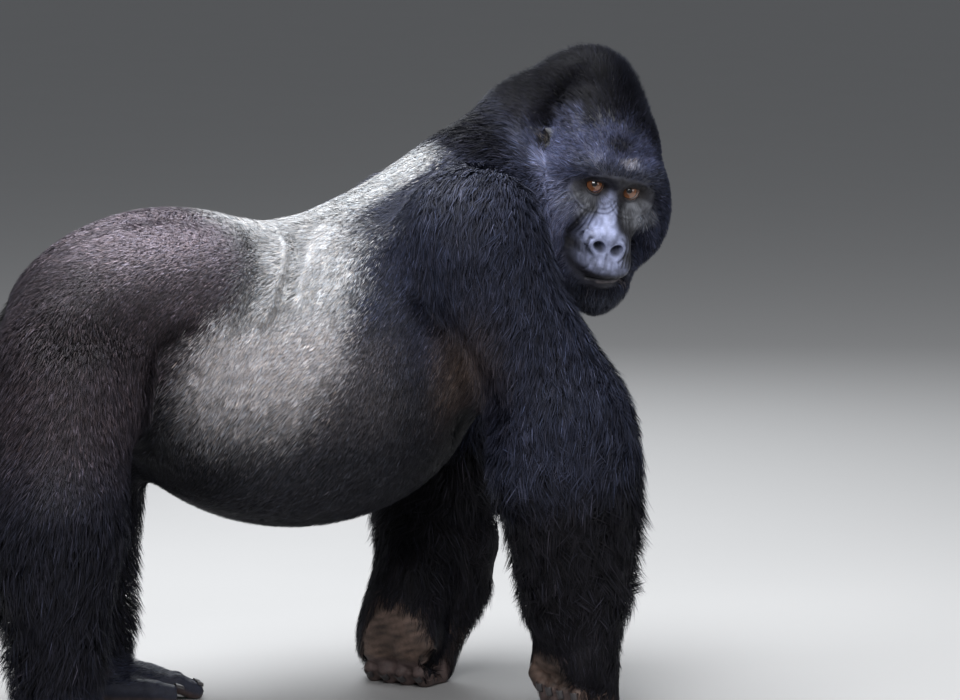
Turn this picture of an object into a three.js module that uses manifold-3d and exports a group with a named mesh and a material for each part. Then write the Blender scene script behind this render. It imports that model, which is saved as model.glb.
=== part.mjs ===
// A silverback mountain gorilla on all fours, life size, with its head turned to look out to its right.
// Millimetres, +Z up. The gorilla faces -Y and its left side is +X. The origin is on the floor, under
// the middle of the whole figure's box.
//
// The body is one smooth shape: bones and muscles are simple rounded shapes, each given by a distance
// function, melted into each other. Each sub-part is the piece of that shape that lies in its own
// region, so that neighbours meet face to face at thin cuts.
import * as THREE from "three";
import Module from "manifold-3d";

// ---- Driving dimensions ----------------------------------------------------------------------
const CUT = 0.4; // width of the cut between two neighbouring sub-parts
const SOLE_SINK = 3; // how far the soles and knuckles are pressed flat by the floor

const WITHERS_UP = 878; // centre of the muscle hump over the shoulders
const BELLY_UP = 576;

// Joints of the limbs, each as forward, left, up. The fringe is the hair that hangs round a hand:
// its centre from the wrist and its half-sizes. The mane hangs from a wrist: places and radii.
const LIMBS = {
  right: {
    side: -1,
    shoulder: [690, 232, 862],
    elbow: [870, 262, 505],
    wrist: [899, 208, 176],
    hand: [903, 207],
    hip: [24, 118, 648],
    knee: [-18, 208, 392],
    ankle: [-26, 172, 92],
    footTurn: 10,
    handTurn: -14,
    fringe: { centre: [2, 4, -84], size: [66, 98, 96] },
    mane: null,
  },
  left: {
    side: 1,
    shoulder: [732, 226, 805],
    elbow: [832, 262, 488],
    wrist: [752, 168, 176],
    hand: [708, 152],
    hip: [86, 118, 655],
    knee: [130, 205, 392],
    ankle: [128, 160, 92],
    footTurn: 2,
    handTurn: 38,
    fringe: { centre: [6, 26, -116], size: [56, 84, 100] },
    mane: { from: [856, 150, 200], to: [774, 150, 24], radii: [52, 26] },
  },
};

// Where the point midway between the eyes is, and how the head is turned, in degrees.
const HEAD = { forward: 998, left: -118, up: 908, turn: -91, nod: 13, tilt: 5 };

// ---- Places and directions -------------------------------------------------------------------
const at = (forward, left, up) => new THREE.Vector3(left, -forward, up);
const radians = THREE.MathUtils.degToRad;

// ---- Distance functions ----------------------------------------------------------------------
// Each is negative inside its shape and grows by about 1 for each millimetre outwards.

// A rounded rod from a to b, as thick as radius ra at a and rb at b.
function rod(a, b, ra, rb = ra) {
  const ab = b.clone().sub(a);
  const squared = ab.lengthSq();
  const offset = new THREE.Vector3();
  return (p) => {
    offset.copy(p).sub(a);
    const share = THREE.MathUtils.clamp(offset.dot(ab) / squared, 0, 1);
    return offset.addScaledVector(ab, -share).length() - (ra + (rb - ra) * share);
  };
}

// An egg shape with its half-sizes given as forward, left and up, turned by an optional rotation.
function egg(centre, [forward, left, up], rotation) {
  const radii = new THREE.Vector3(left, forward, up);
  const undo = rotation ? new THREE.Quaternion().setFromEuler(rotation).invert() : null;
  const local = new THREE.Vector3();
  return (p) => {
    local.copy(p).sub(centre);
    if (undo) local.applyQuaternion(undo);
    local.divide(radii);
    const near = local.length();
    const slope = local.divide(radii).length();
    return slope > 0 ? (near * (near - 1)) / slope : -Math.min(left, forward, up);
  };
}

// Shapes melted together, with a fillet that reaches about softness wide.
function melt(softness, ...shapes) {
  return (p) =>
    shapes.reduce((sum, shape) => {
      const d = shape(p);
      const h = Math.max(softness - Math.abs(sum - d), 0) / softness;
      return Math.min(sum, d) - (h * h * softness) / 4;
    }, 1e4);
}

// A shape with another one scooped out of it.
function scoop(softness, shape, ...tools) {
  return (p) =>
    tools.reduce((rest, tool) => {
      const d = -tool(p);
      const h = Math.max(softness - Math.abs(rest - d), 0) / softness;
      return Math.max(rest, d) + (h * h * softness) / 4;
    }, shape(p));
}

// A shape described in another frame, given by that frame's matrix.
function placed(matrix, shape) {
  const inverse = matrix.clone().invert();
  const local = new THREE.Vector3();
  return (p) => shape(local.copy(p).applyMatrix4(inverse));
}

// The same shapes on the left and right side of a frame.
const bothSides = (make) => [make(1), make(-1)];

// ---- The trunk and neck ----------------------------------------------------------------------
function trunk() {
  const pelvis = egg(at(146, 0, 692), [176, 186, 184]);
  const loin = egg(at(290, 0, 690), [220, 205, 182]);
  const belly = egg(at(455, 0, BELLY_UP), [330, 280, 254]);
  const chest = egg(at(600, 0, 690), [215, 240, 207]);
  const withers = rod(at(600, 0, WITHERS_UP - 120), at(778, 0, WITHERS_UP), 106, 118);
  const haunches = bothSides((s) => egg(at(74 + 26 * s, 92 * s, 658), [152, 126, 145]));
  const raisedHaunch = egg(at(258, 88, 768), [145, 80, 114]);
  const bladeMuscles = bothSides((s) => egg(at(675, 135 * s, 765), [165, 105, 122]));
  return melt(70, pelvis, loin, belly, chest, withers, raisedHaunch, ...haunches, ...bladeMuscles);
}

function neck() {
  const nape = rod(at(760, 0, 838), at(928, 98, 968), 132, 108);
  const crown = rod(at(938, 78, 985), at(985, 20, 1040), 104, 98);
  const throat = rod(at(760, 0, 800), at(930, 62, 865), 128, 86);
  return melt(60, nape, crown, throat);
}

// ---- Arms and hands --------------------------------------------------------------------------
// A joint of a limb, from its forward, out and up.
const joint = ({ side }, [forward, out, up]) => at(forward, out * side, up);

function upperArm(limb) {
  const shoulder = joint(limb, limb.shoulder);
  const elbowAt = joint(limb, limb.elbow);
  const deltoid = egg(shoulder.clone().add(at(12, 12 * limb.side, -25)), [128, 105, 142]);
  const bone = rod(shoulder, elbowAt, 108, 98);
  const biceps = rod(
    shoulder.clone().lerp(elbowAt, 0.35),
    shoulder.clone().lerp(elbowAt, 0.8).add(at(22, 0, 8)),
    92,
    84,
  );
  return melt(45, deltoid, bone, biceps);
}

function forearm(limb) {
  const elbowAt = joint(limb, limb.elbow);
  const wristAt = joint(limb, limb.wrist);
  const elbowTuft = egg(elbowAt.clone().add(at(-36, 4 * limb.side, -48)), [131, 102, 140]);
  const bone = rod(elbowAt, wristAt.clone().add(at(0, 0, 34)), 122, 98);
  const coat = rod(
    elbowAt.clone().lerp(wristAt, 0.35),
    elbowAt.clone().lerp(wristAt, 0.8).add(at(8, 0, 0)),
    123,
    113,
  );
  return melt(45, elbowTuft, bone, coat);
}

// A fist on its knuckles. In its own frame the hand hangs down from the wrist at the origin,
// with its palm to the back and its thumb towards the middle of the body.
const FINGERS = [
  { out: -54, size: 0.92 },
  { out: -18, size: 1.02 },
  { out: 18, size: 1.02 },
  { out: 54, size: 0.94 },
];
const FINGER_RADIUS = 21;
function handFrame(limb) {
  return new THREE.Matrix4()
    .makeRotationZ(radians(limb.handTurn * limb.side))
    .setPosition(joint(limb, [...limb.hand, limb.wrist[2]]));
}

function hand(limb) {
  const floor = -limb.wrist[2] + FINGER_RADIUS - SOLE_SINK;
  const palm = egg(at(2, 0, -60), [42, 76, 76]);
  const heel = egg(at(-20, 0, -34), [38, 64, 44]);
  const wrist = egg(at(0, 0, 8), [56, 62, 60]);
  const fringe = egg(at(...limb.fringe.centre), limb.fringe.size);
  const thumbBase = at(-22, -56 * limb.side, -52);
  const thumbTip = at(-32, -74 * limb.side, -108);
  const thumb = rod(thumbBase, thumbTip, 21, 15);
  const fingers = FINGERS.map(({ out, size }) => {
    const radius = FINGER_RADIUS * size;
    const knuckle = at(20, out * 0.92, -100);
    const middle = at(26, out, floor);
    const lastJoint = at(-24 * size, out * 0.98, floor);
    const tip = at(-48 * size, out * 0.95, floor + 18);
    return melt(
      5,
      rod(knuckle, middle, radius * 1.12, radius),
      rod(middle, lastJoint, radius, radius * 0.96),
      rod(lastJoint, tip, radius * 0.94, radius * 0.78),
    );
  });
  const digits = (p) => Math.min(...fingers.map((finger) => finger(p)));
  const fist = placed(handFrame(limb), melt(14, melt(30, palm, heel, wrist, fringe), thumb, digits));
  if (!limb.mane) return fist;
  const { from, to, radii } = limb.mane;
  return melt(40, fist, rod(at(...from), at(...to), ...radii));
}

// ---- Legs and feet ---------------------------------------------------------------------------
function thigh(limb) {
  const hip = joint(limb, limb.hip);
  const kneeAt = joint(limb, limb.knee);
  const bone = rod(hip, kneeAt, 128, 100);
  const hamstring = rod(
    hip.clone().add(at(-36, 10 * limb.side, -40)),
    kneeAt.clone().add(at(-40, 0, 10)),
    104,
    84,
  );
  const kneecap = egg(kneeAt.clone().add(at(12, 0, 4)), [96, 86, 96]);
  return melt(45, bone, hamstring, kneecap);
}

function shank(limb) {
  const kneeAt = joint(limb, limb.knee);
  const ankleAt = joint(limb, limb.ankle);
  const bone = rod(kneeAt, ankleAt.clone().add(at(6, 0, 50)), 98, 92);
  const calf = rod(
    kneeAt.clone().lerp(ankleAt, 0.15).add(at(-30, 0, 0)),
    kneeAt.clone().lerp(ankleAt, 0.75).add(at(-18, 0, 0)),
    102,
    96,
  );
  return melt(45, bone, calf);
}

// A foot flat on the floor. In its own frame the ankle is above the origin, which is on the floor,
// and the toes point forward. The big toe stands off to the inner side like a thumb.
const TOES = [
  { out: -24, reach: 186, radius: 16.5 },
  { out: 2, reach: 190, radius: 16 },
  { out: 28, reach: 178, radius: 15.5 },
  { out: 52, reach: 156, radius: 14.5 },
];
function footFrame({ side, ankle, footTurn }) {
  return new THREE.Matrix4()
    .makeRotationZ(radians(footTurn * side))
    .setPosition(at(ankle[0], ankle[1] * side, 0));
}

function foot(limb) {
  const { side, ankle } = limb;
  const ankleJoint = egg(at(-4, 0, ankle[2] - 6), [62, 50, 56]);
  const heel = egg(at(-42, 0, 36), [48, 40, 42 - SOLE_SINK + 3]);
  const instep = rod(at(-10, 0, 58), at(96, 6 * side, 34), 42, 31);
  const sole = egg(at(40, 4 * side, 26), [98, 50, 30]);
  const ball = egg(at(112, 12 * side, 24), [40, 54, 26]);
  const toes = TOES.map(({ out, reach, radius }) =>
    melt(
      6,
      rod(at(112, out * 0.86 * side, 26), at(reach - 34, out * side, 30), 19, radius),
      rod(
        at(reach - 34, out * side, 30),
        at(reach, out * side, radius - SOLE_SINK),
        radius,
        radius * 0.92,
      ),
    ),
  );
  const bigToe = melt(
    8,
    rod(at(38, -34 * side, 28), at(92, -66 * side, 27), 27, 21),
    rod(at(92, -66 * side, 27), at(132, -70 * side, 19), 21, 18.5),
  );
  const digits = (p) => Math.min(bigToe(p), ...toes.map((toe) => toe(p)));
  return placed(footFrame(limb), melt(16, melt(30, ankleJoint, heel, instep, sole, ball), digits));
}

// ---- The head --------------------------------------------------------------------------------
// In its own frame the head looks forward, with its origin midway between the eyes.
const EYE = { out: 33, forward: 4, slant: 2.5, radius: 14 };
const EAR = { out: 101, forward: -84, up: 44 };
const eyeCentre = (side) => at(EYE.forward, EYE.out * side, -EYE.slant * side).applyMatrix4(headFrame);
const headFrame = new THREE.Matrix4()
  .makeRotationFromEuler(
    new THREE.Euler(radians(HEAD.nod), radians(HEAD.tilt), radians(HEAD.turn), "ZXY"),
  )
  .setPosition(at(HEAD.forward, HEAD.left, HEAD.up));

function skull() {
  const braincase = egg(at(-100, 0, 40), [112, 88, 92]);
  const forehead = egg(at(-58, 0, 74), [72, 76, 80]);
  const crest = egg(at(-128, 0, 122), [100, 70, 90]);
  const occiput = egg(at(-170, 0, 50), [80, 86, 115]);
  const temples = bothSides((s) => egg(at(-78, 56 * s, 32), [70, 42, 66]));
  return melt(50, braincase, forehead, crest, occiput, ...temples);
}

function face() {
  const brow = melt(
    18,
    ...bothSides((s) => rod(at(26, 0, 33), at(14, 64 * s, 31), 19, 19)),
    ...bothSides((s) => rod(at(14, 64 * s, 31), at(-26, 92 * s, 6), 19, 20)),
  );
  const noseBridge = rod(at(6, 0, 4), at(40, 0, -58), 15, 22);
  const nostrils = bothSides((s) => egg(at(46, 20 * s, -80), [24, 20, 19]));
  const noseTip = egg(at(56, 0, -76), [18, 16, 16]);
  const muzzle = egg(at(8, 0, -108), [62, 58, 58]);
  const upperLip = egg(at(36, 0, -128), [40, 50, 27]);
  const lowerLip = egg(at(28, 0, -168), [40, 46, 23]);
  const chin = egg(at(2, 0, -196), [48, 46, 44]);
  const cheekbones = bothSides((s) => egg(at(-20, 62 * s, -30), [38, 34, 34]));
  const cheeks = bothSides((s) => egg(at(-50, 94 * s, -62), [58, 46, 90]));
  const jaws = bothSides((s) => rod(at(0, 28 * s, -176), at(-84, 68 * s, -122), 36, 50));
  const throat = egg(at(-80, 0, -128), [90, 84, 70]);
  const flesh = melt(26, muzzle, upperLip, lowerLip, chin, ...cheekbones, ...cheeks, ...jaws, throat);
  return melt(16, flesh, brow, noseBridge, ...nostrils, noseTip);
}

function headShape() {
  const sockets = bothSides((s) => egg(at(17, (EYE.out + 2) * s, -3), [17, 24, 14]));
  return scoop(12, melt(34, skull(), face()), ...sockets);
}

function earShape(side) {
  const turned = new THREE.Euler(0, 0, radians(-28 * side));
  const rim = egg(at(EAR.forward, EAR.out * side, EAR.up), [24, 19, 33], turned);
  const bowl = egg(at(EAR.forward + 13, (EAR.out + 17) * side, EAR.up + 1), [13, 13, 21]);
  return scoop(5, rim, bowl);
}

// ---- The whole body --------------------------------------------------------------------------
const limbs = Object.values(LIMBS);
const bareHead = placed(headFrame, headShape());
const earsInPlace = placed(headFrame, melt(1, ...bothSides(earShape)));
const bust = melt(48, melt(90, trunk(), neck()), bareHead);
const torso = melt(26, bust, ...limbs.map(upperArm), ...limbs.map(thigh));
const headAndEars = melt(8, bust, earsInPlace);
const wholeArm = (limb) => melt(45, upperArm(limb), forearm(limb));
const wholeLeg = (limb) => melt(45, thigh(limb), shank(limb));

// ---- Regions ---------------------------------------------------------------------------------
// A region is a list of planes, each with a point on it and a normal that points out of the region.
const plane = (point, outwards) =>
  new THREE.Plane().setFromNormalAndCoplanarPoint(outwards.clone().normalize(), point);
const inFrame = (matrix, flat) => flat.clone().applyMatrix4(matrix);
const reversed = (flat) => flat.clone().negate();
const midline = (side) => plane(at(0, 0, 0), at(0, -side, 0));

const earBox = (side) =>
  [
    plane(at(0, (EAR.out - 17) * side, 0), at(0, -side, 0)),
    plane(at(0, (EAR.out + 30) * side, 0), at(0, side, 0)),
    plane(at(EAR.forward + 32, 0, 0), at(1, 0, 0)),
    plane(at(EAR.forward - 32, 0, 0), at(-1, 0, 0)),
    plane(at(0, 0, EAR.up + 40), at(0, 0, 1)),
    plane(at(0, 0, EAR.up - 40), at(0, 0, -1)),
  ].map((flat) => inFrame(headFrame, flat));

// The head ends at a slanting plane from the nape to the throat, behind the jaw.
const nape = inFrame(headFrame, plane(at(-245, 0, 60), at(-0.83, 0, -0.56)));
const headRegion = [
  nape,
  plane(at(848, 0, 800), at(-1, 0, 0)),
  plane(at(930, 0, 680), at(-1, 0, -1)),
];

// The neck ends at the line of the collar bones.
const collar = plane(at(800, 0, 900), at(-0.8, 0, -0.6));
const neckRegion = [
  collar,
  plane(at(0, 172, 840), at(0, 0.84, -0.54)),
  plane(at(0, -150, 0), at(0, -1, 0)),
  plane(at(0, 0, 720), at(0, 0, -1)),
];

// The arm begins at a steep plane across the shoulder.
const armpit = (side) => plane(at(1090, 0, 0), at(-0.6, -0.8 * side, -0.1));
function armRegions({ side, elbow, wrist }) {
  const elbowCut = plane(at(elbow[0], elbow[1] * side, elbow[2]), at(0.25, 0.3 * side, -0.92));
  const wristCut = plane(at(0, 0, wrist[2]), at(0, 0, -1));
  const behindElbow = plane(at(elbow[0] - 165, 0, 0), at(-1, 0, 0));
  const behindHand = plane(at(600, 0, 0), at(-1, 0, 0));
  const armRegion = [armpit(side), midline(side)];
  const forearmRegion = [reversed(elbowCut), behindElbow, midline(side)];
  return {
    upper_arm: [...armRegion, elbowCut],
    forearm: [...forearmRegion, wristCut],
    hand: [reversed(wristCut), behindHand, midline(side)],
    whole: [armRegion, forearmRegion],
  };
}

// The leg begins at a plane that runs from the hip down along the groin.
const groin = (side) => plane(at(0, -215 / 0.75 * side, 0), at(0.45, -0.75 * side, 0.48));
function legRegions({ side, hip, knee, ankle }) {
  const kneeFront = at(knee[0] + 114, 0, knee[2]);
  const rise = at(hip[0] + 142, 0, hip[2]).sub(kneeFront);
  const thighFront = plane(kneeFront, at(rise.z, 0, rise.y));
  const shankFront = plane(at(knee[0] + 150, 0, 0), at(1, 0, 0));
  const kneeCut = plane(at(knee[0], knee[1] * side, knee[2]), at(0.1, 0.1 * side, -1));
  const ankleCut = plane(at(0, 0, ankle[2] + 12), at(0, 0, -1));
  const toesFront = plane(at(450, 0, 0), at(1, 0, 0));
  const thighRegion = [groin(side), thighFront, kneeCut, midline(side)];
  const shankRegion = [groin(side), shankFront, reversed(kneeCut), midline(side)];
  return {
    thigh: thighRegion,
    shank: [...shankRegion, ankleCut],
    foot: [reversed(ankleCut), toesFront, midline(side)],
    whole: [thighRegion, shankRegion],
  };
}

// ---- From a distance function to a closed mesh -----------------------------------------------
const wasm = await Module();
wasm.setup();
const AXES = ["x", "y", "z"];

// The box of whole cells that holds every point where the field is negative, found by halving cubes.
function gridAround(field, cell) {
  const reach = new THREE.Box3();
  const search = (centre, half) => {
    if (field(centre) > 2 * half) return;
    if (half < Math.max(...cell.toArray())) {
      reach.expandByPoint(centre);
      return;
    }
    for (let n = 0; n < 8; n++) {
      const corner = new THREE.Vector3((n & 1) - 0.5, ((n >> 1) & 1) - 0.5, (n >> 2) - 0.5);
      search(corner.multiplyScalar(half).add(centre), half / 2);
    }
  };
  search(new THREE.Vector3(), 2048);
  reach.expandByVector(cell);
  reach.min.divide(cell).floor().addScalar(-1).multiply(cell);
  return reach;
}

// Surface nets: one vertex in each cell that the surface crosses, moved onto the surface, and one
// quad across each edge of the grid that it crosses.
function surfaceOf(field, cell) {
  const box = gridAround(field, cell);
  const count = AXES.map((a) => Math.ceil((box.max[a] - box.min[a]) / cell[a]) + 1);
  const stride = [1, count[0], count[0] * count[1]];
  const corner = (i, j, k) =>
    new THREE.Vector3(i, j, k).multiply(cell).add(box.min);
  const value = new Float32Array(count[0] * count[1] * count[2]);
  for (let k = 0; k < count[2]; k++)
    for (let j = 0; j < count[1]; j++)
      for (let i = 0; i < count[0]; i++)
        value[i + j * stride[1] + k * stride[2]] = field(corner(i, j, k));
  while (joinSheets(value, stride));

  const vertexOf = new Map();
  const points = [];
  for (let k = 0; k < count[2] - 1; k++)
    for (let j = 0; j < count[1] - 1; j++)
      for (let i = 0; i < count[0] - 1; i++) {
        const middle = crossingMiddle(value, stride, i + j * stride[1] + k * stride[2]);
        if (!middle) continue;
        const p = middle.add(new THREE.Vector3(i, j, k)).multiply(cell).add(box.min);
        vertexOf.set(i + j * stride[1] + k * stride[2], points.length);
        points.push(ontoSurface(field, p, cell));
      }

  const faces = [];
  for (let k = 1; k < count[2] - 1; k++)
    for (let j = 1; j < count[1] - 1; j++)
      for (let i = 1; i < count[0] - 1; i++) {
        const here = i + j * stride[1] + k * stride[2];
        for (let axis = 0; axis < 3; axis++) {
          const inside = value[here] < 0;
          if (inside === value[here + stride[axis]] < 0) continue;
          const u = stride[(axis + 1) % 3];
          const v = stride[(axis + 2) % 3];
          const ring = [here - u - v, here - v, here, here - u].map((c) => vertexOf.get(c));
          faces.push(...twoTriangles(points, inside ? ring : ring.reverse()));
        }
      }
  return { points, faces };
}

// The mean of the places where the surface crosses a cell's twelve edges, in cells, or null.
function crossingMiddle(value, stride, first) {
  const sum = new THREE.Vector3();
  let crossings = 0;
  for (let axis = 0; axis < 3; axis++)
    for (let side = 0; side < 4; side++) {
      const start = new THREE.Vector3();
      start.setComponent((axis + 1) % 3, side & 1);
      start.setComponent((axis + 2) % 3, side >> 1);
      const a = first + start.x * stride[0] + start.y * stride[1] + start.z * stride[2];
      const va = value[a];
      const vb = value[a + stride[axis]];
      if (va < 0 === vb < 0) continue;
      start.setComponent(axis, va / (va - vb));
      sum.add(start);
      crossings++;
    }
  return crossings ? sum.divideScalar(crossings) : null;
}

// A point moved along the field's slope until it lies on the surface, at most half a cell away.
function ontoSurface(field, p, cell) {
  const start = p.clone();
  const most = Math.min(...cell.toArray()) * 0.45;
  const slope = new THREE.Vector3();
  for (let step = 0; step < 3; step++) {
    for (const a of AXES) {
      const beyond = p.clone();
      beyond[a] += 0.5;
      const before = p.clone();
      before[a] -= 0.5;
      slope[a] = field(beyond) - field(before);
    }
    p.addScaledVector(slope, -field(p) / Math.max(slope.lengthSq(), 0.1));
  }
  return start.add(p.sub(start).clampLength(0, most));
}

// A quad as two triangles, split along its shorter diagonal.
function twoTriangles(points, [a, b, c, d]) {
  const short = points[a].distanceToSquared(points[c]) <= points[b].distanceToSquared(points[d]);
  return short ? [a, b, c, a, c, d] : [a, b, d, b, c, d];
}

const solidFrom = ({ points, faces }) =>
  new wasm.Manifold(
    new wasm.Mesh({
      numProp: 3,
      vertProperties: new Float32Array(points.flatMap((p) => p.toArray())),
      triVerts: new Uint32Array(faces),
    }),
  );

// On a face of the grid with one diagonal inside the shape and the other outside, two sheets of the
// surface would meet in one edge. The outer corner nearest to the shape joins it instead.
function joinSheets(value, stride) {
  let joined = 0;
  for (let axis = 0; axis < 3; axis++) {
    const u = stride[(axis + 1) % 3];
    const v = stride[(axis + 2) % 3];
    for (let a = 0; a + u + v < value.length; a++) {
      const inside = value[a] < 0;
      if (value[a + u + v] < 0 !== inside) continue;
      if (value[a + u] < 0 === inside || value[a + v] < 0 === inside) continue;
      const outer = inside ? [a + u, a + v] : [a, a + u + v];
      value[value[outer[0]] < value[outer[1]] ? outer[0] : outer[1]] = -0.01;
      joined++;
    }
  }
  return joined;
}

// ---- From solids to named meshes -------------------------------------------------------------
const BIG = 4000;
function solidRegion(planes, grow) {
  const cube = new THREE.BoxGeometry(BIG, BIG, BIG);
  const position = cube.getAttribute("position");
  const corners = new Map();
  const points = [];
  const faces = Array.from(cube.index.array, (i) => {
    const p = new THREE.Vector3().fromBufferAttribute(position, i);
    const key = p.toArray().join();
    if (!corners.has(key)) corners.set(key, points.push(p) - 1);
    return corners.get(key);
  });
  return planes.reduce(
    (rest, { normal, constant }) =>
      rest.trimByPlane(normal.clone().negate().toArray(), constant - grow),
    solidFrom({ points, faces }),
  );
}

const depthIn = (planes, p) => Math.max(...planes.map((flat) => flat.distanceToPoint(p)));

function meshFrom(solid, name, material) {
  const largest = solid.decompose().reduce((a, b) => (a.volume() > b.volume() ? a : b));
  const { vertProperties, triVerts } = largest.getMesh();
  const geometry = new THREE.BufferGeometry();
  geometry.setAttribute("position", new THREE.BufferAttribute(vertProperties, 3));
  geometry.setIndex(new THREE.BufferAttribute(triVerts, 1));
  geometry.computeVertexNormals();
  const mesh = new THREE.Mesh(geometry, material);
  mesh.name = name;
  return mesh;
}

// The part of a shape inside the keep region and outside every drop region. The grid's axes are those
// of the frame.
const upright = new THREE.Matrix4();
function piece(name, material, cellSize, shape, keep, drop = [], hollow = [], frame = upright) {
  const cell = new THREE.Vector3(...cellSize);
  const margin = 1.6 * Math.max(...cellSize);
  const place = new THREE.Vector3();
  const field = (p) => {
    place.copy(p).applyMatrix4(frame);
    const beyond = depthIn(keep, place) - margin;
    return beyond > 0 ? beyond : Math.max(shape(place), beyond);
  };
  const net = surfaceOf(field, cell);
  for (const p of net.points) p.applyMatrix4(frame);
  let solid = solidFrom(net).intersect(solidRegion(keep, -CUT / 2)).trimByPlane([0, 0, 1], 0);
  for (const region of drop) solid = solid.subtract(solidRegion(region, CUT / 2));
  for (const tool of hollow) solid = solid.subtract(tool);
  return meshFrom(solid, name, material);
}

// ---- Materials -------------------------------------------------------------------------------
const material = (color, roughness) =>
  new THREE.MeshStandardMaterial({ color, roughness, metalness: 0 });
const blackCoat = material(0x17171b, 0.85);
const silverCoat = material(0x6d6a66, 0.85);
const brownCoat = material(0x241e1d, 0.85);
const faceSkin = material(0x3a3d48, 0.5);
const bareSkin = material(0x2b2321, 0.6);
const eyeball = material(0x5a2a10, 0.15);

const EYE_FACETS = 1;

// ---- Sub-parts -------------------------------------------------------------------------------
function eyes() {
  return bothSides((side) => {
    const mesh = new THREE.Mesh(new THREE.IcosahedronGeometry(EYE.radius, EYE_FACETS), eyeball);
    mesh.name = side > 0 ? "eye_left" : "eye_right";
    mesh.position.copy(eyeCentre(side));
    return mesh;
  });
}

function eyeSockets() {
  return bothSides((side) => {
    const ball = new THREE.IcosahedronGeometry(EYE.radius + CUT, EYE_FACETS);
    const centre = eyeCentre(side);
    const points = [];
    const faces = [];
    const seen = new Map();
    const position = ball.getAttribute("position");
    for (let i = 0; i < position.count; i++) {
      const p = new THREE.Vector3().fromBufferAttribute(position, i);
      const key = p.toArray().map((c) => c.toFixed(3)).join();
      if (!seen.has(key)) seen.set(key, points.push(p.add(centre)) - 1);
      faces.push(seen.get(key));
    }
    return solidFrom({ points, faces });
  });
}

function sidePieces(name) {
  const limb = LIMBS[name];
  const armParts = armRegions(limb);
  const legParts = legRegions(limb);
  const armShape = melt(20, wholeArm(limb), hand(limb));
  const legShape = melt(18, wholeLeg(limb), foot(limb));
  const others = [headRegion, neckRegion];
  const shoulderShape = melt(26, bust, wholeArm(limb));
  const hipShape = melt(26, bust, wholeLeg(limb));
  return [
    piece("upper_arm_" + name, blackCoat, [50, 50, 66], shoulderShape, armParts.upper_arm, others),
    piece("forearm_" + name, blackCoat, [46, 46, 80], wholeArm(limb), armParts.forearm),
    piece("hand_" + name, bareSkin, [13, 28, 26], armShape, armParts.hand, [], [], handFrame(limb)),
    piece("thigh_" + name, brownCoat, [50, 50, 70], hipShape, legParts.thigh),
    piece("shank_" + name, blackCoat, [46, 46, 80], wholeLeg(limb), legParts.shank),
    piece("foot_" + name, bareSkin, [16, 32, 21], legShape, legParts.foot, [], [], footFrame(limb)),
  ];
}

const ears = { left: earBox(1), right: earBox(-1) };
const wholeLimbs = limbs.flatMap((limb) => [...armRegions(limb).whole, ...legRegions(limb).whole]);
const overLegs = plane(at(0, 0, 300), at(0, 0, -1));
const gorilla = new THREE.Group();
gorilla.add(
  piece("trunk", silverCoat, [68, 74, 64], torso, [overLegs], [headRegion, neckRegion, ...wholeLimbs]),
  piece("neck", blackCoat, [50, 50, 50], bust, neckRegion, [headRegion]),
  piece("head", faceSkin, [20, 26, 20], bust, headRegion, Object.values(ears), eyeSockets(), headFrame),
  piece("ear_left", faceSkin, [11, 11, 11], headAndEars, ears.left, [], [], headFrame),
  piece("ear_right", faceSkin, [11, 11, 11], headAndEars, ears.right, [], [], headFrame),
  ...eyes(),
  ...sidePieces("left"),
  ...sidePieces("right"),
);

// The origin goes to the floor under the middle of the figure.
const extent = new THREE.Box3().setFromObject(gorilla, true);
const middle = extent.getCenter(new THREE.Vector3());
gorilla.position.set(-middle.x, -middle.y, 0);

export default gorilla;
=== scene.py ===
"""A silverback mountain gorilla, life-size, standing on its knuckles and looking over its right shoulder.

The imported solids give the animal's outline, out to the tips of its coat. One skin replaces them, sunk
below them by the depth of the coat, and the coat lies on it as thin tufts of real mesh.
Lengths are in metres, apart from places on the head, which are in millimetres in the head's own frame.
"""
import math

import bpy
import numpy as np
import openvdb
from mathutils import Matrix, Vector
from mathutils.bvhtree import BVHTree
from mathutils.kdtree import KDTree


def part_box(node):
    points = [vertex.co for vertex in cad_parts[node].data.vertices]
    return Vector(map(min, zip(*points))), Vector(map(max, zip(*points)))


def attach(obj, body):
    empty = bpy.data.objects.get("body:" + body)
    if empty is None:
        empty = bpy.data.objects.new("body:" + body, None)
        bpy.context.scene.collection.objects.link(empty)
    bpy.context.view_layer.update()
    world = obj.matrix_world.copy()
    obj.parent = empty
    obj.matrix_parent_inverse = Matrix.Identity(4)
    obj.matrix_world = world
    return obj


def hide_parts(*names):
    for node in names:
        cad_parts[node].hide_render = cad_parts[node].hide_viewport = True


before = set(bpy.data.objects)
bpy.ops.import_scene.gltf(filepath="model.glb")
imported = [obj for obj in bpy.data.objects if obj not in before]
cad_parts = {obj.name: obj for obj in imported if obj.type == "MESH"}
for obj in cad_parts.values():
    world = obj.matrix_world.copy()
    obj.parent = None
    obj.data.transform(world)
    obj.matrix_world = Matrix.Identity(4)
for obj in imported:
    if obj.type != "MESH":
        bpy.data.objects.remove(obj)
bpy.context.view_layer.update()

MM = 0.001
SEED = 7
RIGHT, LEFT = -1, 1
SIDES = (RIGHT, LEFT)

# ---- The animal's own axes -------------------------------------------------------------------
# Body places are forward from the rump, left of the midline and up from the floor.
HEAD_FORWARD, HEAD_LEFT = 0.998, -0.118
EYE_FORWARD, EYE_OUT = 4, 33  # the eyes' centres in front of the head's origin and off its midline, mm


def turned_axes(turn, nod, tilt):
    """The axes of a thing turned to the left, nodded down and tilted, in degrees."""
    turn, nod, tilt = (math.radians(angle) for angle in (turn, nod, tilt))
    turned = Matrix.Rotation(turn, 3, "Z") @ Matrix.Rotation(nod, 3, "X") @ Matrix.Rotation(tilt, 3, "Y")
    return np.array(turned)


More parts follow.
